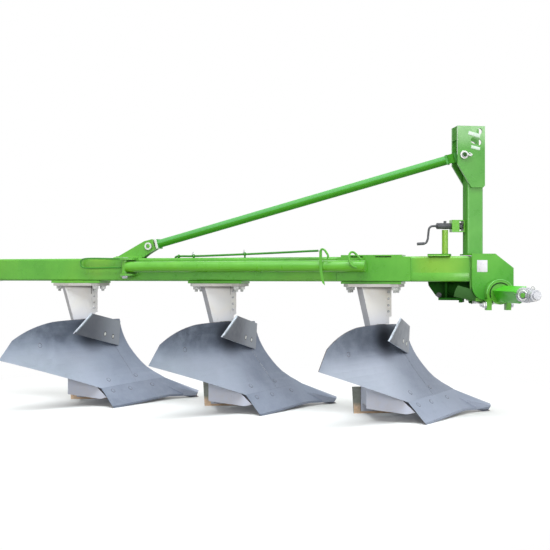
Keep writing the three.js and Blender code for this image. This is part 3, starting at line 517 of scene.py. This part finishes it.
def turned(work, profile, at, material=0, steps=24):  # a profile of (radius, height) spun about the frame's Z
    before = set(work.faces)
    verts = [work.verts.new((radius * mm, 0, height * mm)) for radius, height in profile]
    edges = [work.edges.new(pair) for pair in zip(verts, verts[1:])]
    bmesh.ops.spin(work, geom=verts + edges, cent=(0, 0, 0), axis=(0, 0, 1), angle=math.tau,
            steps=steps, use_merge=True)
    verts = list({vert for face in work.faces if face not in before for vert in face.verts})
    bmesh.ops.remove_doubles(work, verts=verts, dist=0.005 * mm)
    settle(work, before, at, material)

def prism(work, at, sides, radius, height, chamfer, start=0.0):  # a bar on the frame, its upper edges bevelled
    before = set(work.faces)
    bar = bmesh.ops.create_cone(work, cap_ends=True, segments=sides, radius1=radius * mm, radius2=radius * mm,
            depth=height * mm, matrix=shift(0, 0, height / 2) @ Matrix.Rotation(start, 4, "Z"))
    top = [edge for edge in {edge for vert in bar["verts"] for edge in vert.link_edges}
           if all(vert.co.z > (height - 0.01) * mm for vert in edge.verts)]
    bmesh.ops.bevel(work, geom=top, offset=chamfer * mm, affect="EDGES", segments=2, profile=0.5, material=-1)
    settle(work, before, at)

def slab(work, at, size, bevel, outline=None):  # a box, or a plate of an outline in the frame's XY plane
    before = set(work.faces)
    if outline:
        base = work.faces.new([work.verts.new((x * mm, y * mm, 0)) for x, y in outline])
        grown = bmesh.ops.extrude_face_region(work, geom=[base])["geom"]
        bmesh.ops.translate(work, vec=(0, 0, size * mm), verts=only(BMVert, grown))
    else:
        bmesh.ops.create_cube(work, size=mm, matrix=Matrix.Diagonal((*size, 1)))
    faces = [face for face in work.faces if face not in before]
    bmesh.ops.recalc_face_normals(work, faces=faces)
    edges = {edge for face in faces for edge in face.edges}
    bmesh.ops.bevel(work, geom=list(edges), offset=bevel * mm, affect="EDGES", segments=2, profile=0.5, material=-1)
    settle(work, before, at)

def facing(place, axis, turn=0.0):  # a frame at a place whose Z runs along axis
    rotation = Vector(axis).to_track_quat("Z", "Y").to_matrix().to_4x4()
    return Matrix.Translation(place) @ rotation @ Matrix.Rotation(turn, 4, "Z")

def angles(start, end, step):  # from start to end in degrees, both of them included
    return [math.radians(degree) for degree in range(start, end + 1, step)]

def rodPiece(work, places, radius, material=0, sides=4, closed=False):  # a bent rod, made as a curve
    curve = bpy.data.curves.new("rod", "CURVE")
    curve.dimensions, curve.bevel_depth, curve.bevel_resolution, curve.use_fill_caps = "3D", radius * mm, sides, True
    line = curve.splines.new("BEZIER")
    line.bezier_points.add(len(places) - 1)
    line.use_cyclic_u = closed
    for bend, place in zip(line.bezier_points, places):
        bend.co = place
        bend.handle_left_type = bend.handle_right_type = "AUTO"
    holder = bpy.data.objects.new("rod", curve)
    mesh = bpy.data.meshes.new_from_object(holder)
    for polygon in mesh.polygons:
        polygon.material_index = material
    work.from_mesh(mesh)
    bpy.data.objects.remove(holder)
    bpy.data.meshes.remove(mesh)
    bpy.data.curves.remove(curve)

# bolt ends, in parts of the thread's radius
boltLook = {"washer": [(1.05, 0), (2.1, 0), (2.15, 0.1), (2.1, 0.28), (1.05, 0.3)], "nut": 1.6, "head": 1.3,
        "across": 1.78, "chamfer": 0.16, "crown": [(0, 0.08), (1.15, 0.05), (1.3, -0.02)],
        "pitch": 0.3, "crest": 0.98, "root": 0.86}

def boltEnd(work, at, size, reach=0, washer=True, head=False):
    # a nut on its washer with the thread standing out of it, or a hexagon head: size is the thread's radius
    look = boltLook

    def spun(profile, level, steps):
        turned(work, [(radius * size, (level + height) * size) for radius, height in profile], at, steps=steps)

    level = 0.0
    if washer:
        spun(look["washer"], level, 20)
        level = look["washer"][-1][1]
    deep = look["head" if head else "nut"]
    prism(work, at @ shift(0, 0, level * size), 6, look["across"] * size, deep * size, look["chamfer"] * size)
    level += deep
    if head:
        spun(look["crown"], level, 18)
        return
    count = int(reach / (look["pitch"] * size))
    thread = [(radius, (turn + half) * look["pitch"]) for turn in range(count)
            for radius, half in ((look["crest"], 0), (look["root"], 0.5))]
    top = count * look["pitch"]
    spun([(1, -0.1), *thread, (0.7, top + 0.12), (0, top + 0.14)], level, 16)

standOff = 0.3  # metres outside a surface, from where it is looked for

def hitOn(names, origin, direction):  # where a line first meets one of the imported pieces, and its normal there
    best = None
    for name in names:
        found, spot, normal = nodes[name].ray_cast(origin, direction.normalized())[:3]
        if found and (best is None or (spot - origin).length < (best[0] - origin).length):
            best = (spot, normal if normal.dot(direction) < 0 else -normal)
    return best

# bolts of the plough bodies, each ringed in dark as painted shadow round its head, and a strip of share steel in the
# seam between share and mouldboard that covers the seam's dark line
ploughBolts = {"radius": 12, "proud": 1.6, "gap": 1.7, "lip": 0.6, "sunk": 1, "nut": 7, "reach": 9, "plate": 10.5,
        "room": 40, "onShare": 140, "outward": (0.55, -0.63, 0.55),
        "spots": [(-946, -488, 397), (-569, -282, 153), (-413, -118, 157), (-306, -116, 99),
        (-430, -254, 103), (-538, -339, 93)]}
board = {"root": point(-521, -66, 350), "outer": point(-235, -469, 109), "rise": point(9, 4, 158),
        "tip": point(-140, -355, 224)}  # a trash board's corners, all but the first from its root
trashBolts = {"thread": 6.5, "reach": 8, "plate": 8.2, "spots": [(0.16, 0.29), (0.35, 0.30)],
        "head": [(0, 2.6), (7, 2.3), (10.5, 1.2), (11.2, -0.5)],
        "rim": [(11.2, -0.5), (11.3, 0.4), (14.8, 0.45), (15.2, -0.5)]}
seamLook = {"radius": 4.6, "sunk": 4.15, "steps": 8, "lifts": (-1.2, 1.8), "before": -1100, "apart": 12,
        "path": [(-228, 131), (-402, 124), (-600, 112.5)]}
for place, body in zip(places, bodyFrames):
    work = bmesh.new()
    look = ploughBolts
    surfaces = [f"{kind}_{place}" for kind in ("share", "shin", "mouldboard")]
    behind = [f"{kind}_{place}" for kind in ("leg", "frog", "landside")]
    outward = Vector(look["outward"]).normalized()
    r, proud, sunk, rimRadius = look["radius"], look["proud"], -look["sunk"], look["radius"] + look["gap"]
    for x, y, z in look["spots"]:
        spot, normal = hitOn(surfaces, body @ point(x, y, z) + outward * standOff, -outward)
        at = facing(spot, normal)
        turned(work, [(0, proud), (r * 0.55, proud * 0.95), (r * 0.85, proud * 0.7), (r, proud * 0.2), (r, sunk)], at,
               material=0 if z < look["onShare"] else 2)
        # a dark ring round the head: painted shadow of its gap
        turned(work, [(r, sunk), (r, 0.25), (rimRadius, 0.3), (rimRadius + look["lip"], sunk)], at, material=1)
        rear = spot - normal * (look["plate"] * mm)
        wall = hitOn(behind, rear, -normal)
        if not wall or (wall[0] - rear).length > look["room"] * mm:  # a nut where there is room for one
            boltEnd(work, facing(rear, -normal, 0.3), look["nut"], look["reach"])
    finished(f"plough_bolts_{place}", work, "frame_and_bodies", "body_steel", shareSteel[place], rim, mouldSteel[place])

    work = bmesh.new()
    look = trashBolts
    outward = board["rise"].cross(board["outer"]).normalized()
    for across, up in look["spots"]:
        start = body @ board["root"] + board["outer"] * across + board["rise"] * up + outward * standOff
        spot, normal = hitOn([f"trash_board_{place}"], start, -outward)
        turned(work, look["head"], facing(spot, normal), steps=20)
        # a dark ring round the head: painted shadow of its gap
        turned(work, look["rim"], facing(spot, normal), material=1, steps=20)
        boltEnd(work, facing(spot - normal * (look["plate"] * mm), -normal), look["thread"], look["reach"])
    finished(f"trash_board_bolts_{place}", work, "frame_and_bodies", "zinc", whiteZinc, darkRim)

    work = bmesh.new()
    look = seamLook
    path = look["path"]
    line = [Vector(a).lerp(Vector(b), step / look["steps"]) for a, b in zip(path, path[1:])
            for step in range(look["steps"])] + [Vector(path[-1])]
    points = []
    for x, z in line:
        sides = [hitOn(surfaces, body @ point(x, look["before"], z + lift), -rightOf) for lift in look["lifts"]]
        if all(sides) and abs(sides[0][0].y - sides[1][0].y) < look["apart"] * mm:
            inward = -(sides[0][1] + sides[1][1]).normalized()
            points.append((sides[0][0] + sides[1][0]) / 2 + inward * (look["sunk"] * mm))
    rodPiece(work, points, look["radius"], sides=2)
    finished(f"share_seam_{place}", work, "frame_and_bodies", "body_steel", shareSteel[place])
print("body bolts made")

# nuts under the leg flanges, and the leg's own screws
flangeNuts = {"thread": 10.5, "reach": 15, "turn": 0.35, "spots": [(-143, -45), (-150, 42), (115, -45), (115, 45)]}
legScrews = {"thread": 4, "along": 84, "side": -200, "heights": [710, 672, 634, 600]}
for place, seat, leg in zip(places, seatFrames, legFrames):
    work = bmesh.new()
    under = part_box(f"leg_flange_{place}")[0].z / mm
    for i, (u, v) in enumerate(flangeNuts["spots"]):
        at = seat @ shift(u, v, under) @ turnedOver @ Matrix.Rotation(flangeNuts["turn"] * i, 4, "Z")
        boltEnd(work, at, flangeNuts["thread"], flangeNuts["reach"])
    finished(f"flange_nuts_{place}", work, "frame_and_bodies", "zinc", whiteZinc)
    work = bmesh.new()
    for height in legScrews["heights"]:
        start = leg @ point(legScrews["along"], legScrews["side"], height)
        spot, normal = hitOn([f"leg_{place}"], start, -(leg.to_3x3() @ rightOf))
        boltEnd(work, facing(spot, normal), legScrews["thread"], washer=False, head=True)
    finished(f"leg_screws_{place}", work, "frame_and_bodies", "zinc", zinc)
print("flange nuts made")

# ring washers, pins and labels of the brace and the mast head
def ringWasher(work, place, axis, out, outer, inner, deep, stand=0):
    # a flat white washer round the painted end of its pin, which stands out of it
    at = facing(place + axis * (out * mm), axis)
    turned(work, [(inner, 0), (inner, deep * 0.8), (inner + 0.8, deep), (outer - 0.8, deep), (outer, deep * 0.8),
            (outer, 0)], at, steps=36)
    turned(work, [(inner - 0.5, 0), (inner - 0.5, stand + deep * 0.5), (inner * 0.8, stand + deep * 0.9),
            (0, stand + deep)], at, material=1, steps=28)

def linchPin(work, at, reach, ring):  # a pin along the frame's Z with its spring ring folded over
    turned(work, [(0, 0), (3.4, 0.5), (4, 3), (4, reach - 2), (2.6, reach), (0, reach)], at, steps=12)
    prism(work, at @ shift(0, 0, reach * 0.8), 4, 7, 8, 1, start=0.4)
    loop = [at @ point(ring * math.sin(t), ring * 0.35 * math.sin(t) + 4, reach * 0.84 - ring * (1 - math.cos(t)))
            for t in angles(0, 330, 30)]
    rodPiece(work, loop, 2, closed=True)

braceWasher = {"out": 28.2, "outer": 23, "inner": 13, "deep": 3}
work = bmesh.new()
ringWasher(work, bracePin, beamRight, **braceWasher)
finished("brace_pin_washer", work, "frame_and_bodies", "zinc", whiteZinc, green)

mastWasher = {"out": 5.6, "outer": 22, "inner": 14.6, "deep": 4, "stand": 7}
mastLinch = {"place": (10, -12.6, 1), "axis": (1, 0, -0.1), "turn": 1.2, "reach": 30, "ring": 8}
work = bmesh.new()
pinFace = Vector((headPin.x, cheekFace, headPin.z))
ringWasher(work, pinFace, rightOf, **mastWasher)
at = facing(pinFace + point(*mastLinch["place"]), mastLinch["axis"], mastLinch["turn"])
linchPin(work, at, mastLinch["reach"], mastLinch["ring"])
finished("mast_pin_washer", work, "headstock", "zinc", whiteZinc, gussetGreen)

labelShape = {"thick": 0.9, "bevel": 0.3, "round": 2.5}
upright = Matrix.Rotation(math.pi / 2, 4, "X")  # lays a plate's outline in a plane along the mast
labels = {"mast_label_upper": ((1263.5, 1564.5), (68, 20), -15, cheekFace, mastLabel),
        "mast_label_lower": ((1271, 1492), (51, 17), -13, cheekFace, mastLabel),
        "headstock_label": ((1294, 853), (58, 64), 0, plateFace, label)}  # place, size, lean, face and finish
for name, ((x, z), (wide, high), lean, face, finish) in labels.items():
    work = bmesh.new()
    r = labelShape["round"]
    outline = [(sx * (wide / 2 - r) + r * math.cos(t), sz * (high / 2 - r) + r * math.sin(t))
            for sx, sz, start in [(1, 1, 0), (-1, 1, 90), (-1, -1, 180), (1, -1, 270)]
            for t in angles(start, start + 90, 30)]
    at = shift(x, face / mm, z) @ upright @ Matrix.Rotation(math.radians(lean), 4, "Z")
    slab(work, at, labelShape["thick"], labelShape["bevel"], outline)
    finished(name, work, "headstock", "zinc", finish)
print("washers and labels made")

# release rod of the roller arm, with its guides
releaseRod = {"radius": 6.2, "guide": 9, "wall": (3.4, 5), "post": (9, 7), "sunk": 4, "along": (1, -0.045, 0.015),
        "path": [(-1746, -46, 909), (-1742, -48, 914), (-1730, -50, 917), (-1623, -52, 918), (-1293, -62, 927),
        (-1050, -76, 935), (-880, -96, 941), (-836, -104, 942)],
        "guides": [(-1722, -50, 917), (-1623, -52, 918), (-1293, -62, 927)],
        "bolt": [(0, 16), (3.2, 15), (4, 12), (4, 0), (7, 0), (7, -5)]}
work = bmesh.new()
look = releaseRod
rodPiece(work, [onBeam(*bend) for bend in look["path"]], look["radius"], sides=5)
(wide, high), sunk = look["wall"], look["sunk"]
for u, v, z in look["guides"]:
    sleeve = [(look["guide"] + wide * math.cos(t), high * math.sin(t)) for t in angles(0, 360, 36)]
    turned(work, sleeve, facing(onBeam(u, v, z), beamFrame.to_3x3() @ Vector(look["along"])))
    slab(work, beamFrame @ shift(u, v, (topMm + z) / 2 - sunk), (*look["post"], z - topMm - sunk), 1)
finished("arm_release_rod", work, "frame_and_bodies", "green_paint", loopGreen)
work = bmesh.new()
for u, v, z in look["guides"][1:]:
    turned(work, look["bolt"], beamFrame @ shift(u - 5, v, z + 11), steps=14)
finished("release_rod_bolts", work, "frame_and_bodies", "zinc", zinc)

# nuts of the arm's pivot
pivotNuts = {"bore": 11.2, "reach": 53, "below": (27, 4.2), "above": (22, 3.2), "nut": (18, 12, 2)}
work = bmesh.new()
look = pivotNuts
pivot = Matrix.Translation((armPivot.x, armPivot.y, armHeight))
above = pivot @ shift(0, 0, look["reach"])
below = pivot @ turnedOver @ shift(0, 0, look["reach"])
for at, (radius, deep) in ((below, look["below"]), (above, look["above"])):
    turned(work, [(look["bore"], 0), (radius, 0), (radius + 0.4, 1), (radius, deep - 0.2), (look["bore"], deep)], at,
           steps=28)
prism(work, below @ shift(0, 0, look["below"][1]), 6, *look["nut"])
finished("arm_pivot_nuts", work, "frame_and_bodies", "zinc", zinc)

# bolts of the cross-shaft's clamps, a dark arc as painted shadow in the gap round the shaft, and a pale arc as painted
# highlight on each clamp's rim
clampLook = {"thread": 9, "rear": -76.3, "front": 60.3, "height": {"right": -60, "left": -43},
        "reach": {"right": 14, "left": 2}, "shaft_grease": (0, 3.2, 0.4, (-20, 200, 20)),
        "clamp_rim": (17, 2.2, 0.2, (0, 180, 15))}  # past the shaft, thickness, proud and arc
shaftSides = {"right": -1, "left": 1}
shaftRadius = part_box("cross_shaft")[1].z - shaft.z

look = clampLook
for side, sign in shaftSides.items():
    work = bmesh.new()
    centre, outer = middle(f"shaft_flange_{side}").y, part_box(f"shaft_flange_{side}")[sign > 0].y
    for along, axis, turn, reach, head in ((look["rear"], -1, 0.2, look["reach"][side], False),
            (look["front"], 1, 0.5, 0, True)):
        spot = Vector((shaft.x, centre, shaft.z)) + point(along, 0, look["height"][side])
        boltEnd(work, facing(spot, (axis, 0, 0), turn), look["thread"], reach, head=head)
    # the left clamp's bolts take the shaded enamel, as painted shade
    finished(f"clamp_bolts_{side}", work, "headstock", "zinc", zinc if side == "right" else shadedGreen)
    for kind, slot, finish in (("shaft_grease", "dark_steel", grease), ("clamp_rim", "green_paint", paleGreen)):
        work = bmesh.new()
        outside, radius, proud, arc = look[kind]
        reach = shaftRadius + outside * mm
        rodPiece(work, [(shaft.x + reach * math.cos(t), outer + sign * proud * mm, shaft.z + reach * math.sin(t))
                for t in angles(*arc)], radius)
        finished(f"{kind}_{side}", work, "headstock", slot, finish)

# linch pins through the collars of the link pins
linkRing = {"outer": 23, "wire": 3.2, "boss": [(13, -8), (13, 4), (11.5, 5.5), (0, 6)], "behind": -36, "out": 87,
        "pinOut": 128, "pinHeight": 24, "pinReach": 26, "pinRing": 13}
look = linkRing
for side, sign in shaftSides.items():
    work = bmesh.new()
    inner = Vector((shaft.x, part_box(f"link_pin_{side}")[sign < 0].y, shaft.z))
    at = facing(inner + point(look["behind"], sign * look["out"], 0), (-0.8, sign * 0.6, 0))
    wire = [(look["outer"] - look["wire"] * math.cos(t), look["wire"] * (1 + math.sin(t))) for t in angles(0, 360, 36)]
    turned(work, wire, at, steps=32)
    turned(work, look["boss"], at, material=1)
    at = facing(inner + point(0, sign * look["pinOut"], look["pinHeight"]), (0.12, 0, 1))
    linchPin(work, at, look["pinReach"], look["pinRing"])
    finished(f"link_linch_pin_{side}", work, "headstock", "zinc", whiteZinc, green)
print("rods and pins made")

# brace end plate, the beam's foot strip and the bracket's bolt
braceEnd = {"along": 57, "size": (15.4, 59.6, 59.6), "bevel": 1.6}
work = bmesh.new()
braceAt = Matrix.Translation(bracePin) @ (headPin - bracePin).to_track_quat("X", "Z").to_matrix().to_4x4()
slab(work, braceAt @ shift(braceEnd["along"], 0, 0), braceEnd["size"], braceEnd["bevel"])
finished("brace_end_skin", work, "frame_and_bodies", "zinc", whiteZinc)

footStrip = {"place": (-160, -70.4, bottomMm + 27), "size": (312, 3, 44), "bevel": 0.8}
work = bmesh.new()
slab(work, beamFrame @ shift(*footStrip["place"]), footStrip["size"], footStrip["bevel"])
finished("beam_foot_strip", work, "frame_and_bodies", "green_paint", green)

bracketBolt = {"place": (-180, 46, bottomMm - 74), "thread": 7, "reach": 10}
work = bmesh.new()
boltEnd(work, facing(onBeam(*bracketBolt["place"]), beamRight), bracketBolt["thread"], bracketBolt["reach"])
finished("beam_bolts", work, "frame_and_bodies", "zinc", crankSteel)

# gusset plate at the headstock's lower rear edge, in a darker copy of the enamel as painted shade
gusset = {"thick": 5, "inset": 12.4, "bevel": 1,
        "outline": [(1165, 749), (1240, 728), (1279, 713), (1340, 665), (1340, 655), (1290, 655), (1201, 678),
        (1141, 689), (1150, 725)]}
work = bmesh.new()
at = shift(0, plateFace / mm + gusset["inset"] + gusset["thick"]) @ upright
slab(work, at, gusset["thick"], gusset["bevel"], gusset["outline"])
finished("headstock_gusset", work, "headstock", "green_paint", gussetGreen)
print("gusset made")

# folded lips of the trash boards, each with a bead along the fold
lipLook = {"start": 14, "end": 6, "bead": (2, 4.4), "radius": 2.6, "bevel": 0.2,
        "section": [(2, 4.4), (3, 6.4), (17, 5)]}
look = lipLook
top, inward = (board["tip"] - board["outer"]).normalized(), -board["outer"].normalized()
normal = inward.cross(top).normalized()
start = board["root"] + board["outer"] + top * (look["start"] * mm)
end = board["root"] + board["tip"] - top * (look["end"] * mm)
fold = (inward * look["bead"][0] + normal * look["bead"][1]) * mm
lean = Matrix.Translation(start) @ Matrix([inward, normal, top]).transposed().to_4x4()
for place, body in zip(places, bodyFrames):
    work = bmesh.new()
    slab(work, body @ lean, (end - start).length / mm, look["bevel"], look["section"])
    rodPiece(work, [body @ (start.lerp(end, part) + fold) for part in (0, 0.5, 1)], look["radius"], 1, 3)
    finished(f"trash_board_lip_{place}", work, "frame_and_bodies", "body_steel", boardLip, brightRim)
print("lips made")

# weld beads
weldLook = {"radius": 4.5, "pitch": 6, "ripple": 0.16, "tail": 0.45, "sides": 8}

def weldRun(work, start, end, size):  # a rippled bead laid from one place to another
    look = weldLook
    run = end - start
    count = max(3, int(run.length / (look["pitch"] * mm)) * 2)
    ring = bmesh.ops.create_circle(work, cap_ends=False, segments=look["sides"], radius=look["radius"] * mm * size,
            matrix=facing(start, run))["verts"]
    first = edges = list({edge for vert in ring for edge in vert.link_edges})
    for step in range(count):
        grown = bmesh.ops.extrude_edge_only(work, edges=edges)["geom"]
        verts, edges = only(BMVert, grown), only(BMEdge, grown)
        bmesh.ops.translate(work, vec=run / count, verts=verts)
        centre = start + run * (step + 1) / count
        swell = look["tail"] if step == count - 1 else (1 + look["ripple"]) ** (-1) ** step
        bmesh.ops.scale(work, vec=(swell,) * 3, space=Matrix.Translation(-centre), verts=verts)
    for loop in (first, edges):
        bmesh.ops.holes_fill(work, edges=loop, sides=0)

post = (beamFrame.inverted() @ middle("adjuster_post")) / mm
beads = [(beamFrame, (u, -71, bottomMm + 10), (u, -71, topMm - 8), 0.9) for u in (-317, -736)]  # side plate
beads += [(beamFrame, (rear, v, topMm + up), (front, v, topMm + up), 1.0)  # brace lug
        for rear, front, wide, up in ((-2171, -1978, 36, 2), (-2160, -1980, 23, 9)) for v in (-wide, wide)]
beads += [(beamFrame, (-3042, -58, z), (-3042, 58, z), 0.8) for z in (topMm - 2, bottomMm + 2)]  # rear cap
beads += [(beamFrame, (-1, v, bottomMm + 12), (-1, v, topMm - 14), 0.9) for v in (-68, 68)]  # end flange
beads += [(seat, (-184, v, bottomMm - 1), (153, v, bottomMm - 1), 0.7) for seat in seatFrames for v in (-68, 68)]
beads += [(beamFrame, (post.x - 58, post.y + v, topMm + 2), (post.x + 58, post.y + v, topMm + 2), 0.8)
        for v in (-37, 37)]  # adjuster
work = bmesh.new()
for at, start, end, size in beads:
    weldRun(work, at @ point(*start), at @ point(*end), size)
finished("beam_welds", work, "frame_and_bodies", "green_paint", green)
print("welds made")

# camera, light and floor
view = {"place": (-0.3732, -4.9461, 0.805), "turn": -7.0, "focal": 56.61818, "sensor": 36}
camera = bpy.data.cameras.new("camera")
camera.lens, camera.sensor_width = view["focal"], view["sensor"]
cameraObject = bpy.data.objects.new("camera", camera)
cameraObject.location = view["place"]
cameraObject.rotation_euler = (math.radians(90), 0, math.radians(view["turn"]))
scene.collection.objects.link(cameraObject)
scene.camera = cameraObject
scene.view_settings.view_transform = "Standard"

# each lamp's place, aim, size, power and tint
lamps = {"above": ((-0.6, -3.4, 8.4), (-0.1, 0, 0.5), (8.0, 4.5), 810, (0.93, 0.98, 1.0)),
        "front": ((0.6, -9.4, 2.4), (0, 0, 0.5), (6.0, 3.0), 330, (1.0, 0.97, 0.92)),
        "side": ((7.0, -5.6, 2.4), (0, 0, 0.5), (5.0, 3.0), 125, (1, 1, 1)),
        "rear": ((-5.6, -3.6, 2.6), (0, 0, 0.7), (6.0, 5.0), 22, (1, 1, 1)),
        "behind": ((0.5, 5.8, 3.4), (0, 0, 0.8), (6.0, 3.4), 80, (1, 1, 1))}
for name, (place, aim, size, power, tint) in lamps.items():
    light = bpy.data.lights.new(name, "AREA")
    light.shape, light.size, light.size_y = "RECTANGLE", *size
    light.energy, light.color = power, tint
    holder = bpy.data.objects.new(name, light)
    holder.location = place
    holder.rotation_euler = (Vector(aim) - Vector(place)).to_track_quat("-Z", "Y").to_euler()
    scene.collection.objects.link(holder)

roomLook = {"glow": 0.5, "tint": (1.0, 0.99, 0.96, 1), "seen": (1, 1, 1, 1)}
scene.world = bpy.data.worlds.new("pale room")
room = Finish("pale room", scene.world)
seen = room.seenRays()
glow = room.node("ShaderNodeMix", {"data_type": "FLOAT"}, {0: seen, 2: roomLook["glow"], 3: 1.0})
sky = room.node("ShaderNodeBackground", None, {"Color": room.mix(seen, roomLook["tint"], roomLook["seen"]),
        "Strength": glow})
room.node("ShaderNodeOutputWorld", None, {"Surface": sky}, output=None)

# the floor is white to the camera, takes shadows near the plough, and is dimmer to all other light
floorLook = {"half": 30.0, "seen": tone(246, 246, 246), "bounce": tone(134, 133, 125), "near": 1.5, "far": 2.6}
work = bmesh.new()
bmesh.ops.create_grid(work, x_segments=1, y_segments=1, size=floorLook["half"])
floorMesh = bpy.data.meshes.new("floor")
work.to_mesh(floorMesh)
work.free()
f = Finish("pale floor")
seen = f.seenRays()
white = f.node("ShaderNodeEmission", None, {"Strength": 1.0})
across = f.node("ShaderNodeVectorMath", {"operation": "LENGTH"}, {0: f.place}, output="Value")
shade = f.node("ShaderNodeBsdfDiffuse", None, {"Color": f.mix(seen, floorLook["bounce"], floorLook["seen"])})
mixed = f.node("ShaderNodeMixShader", None,
        {0: seen * across.above(floorLook["near"], floorLook["far"]), 1: shade, 2: white})
f.node("ShaderNodeOutputMaterial", None, {"Surface": mixed}, output=None)
floorMesh.materials.append(f.material)
floor = bpy.data.objects.new("floor", floorMesh)
scene.collection.objects.link(floor)
print("stage set")
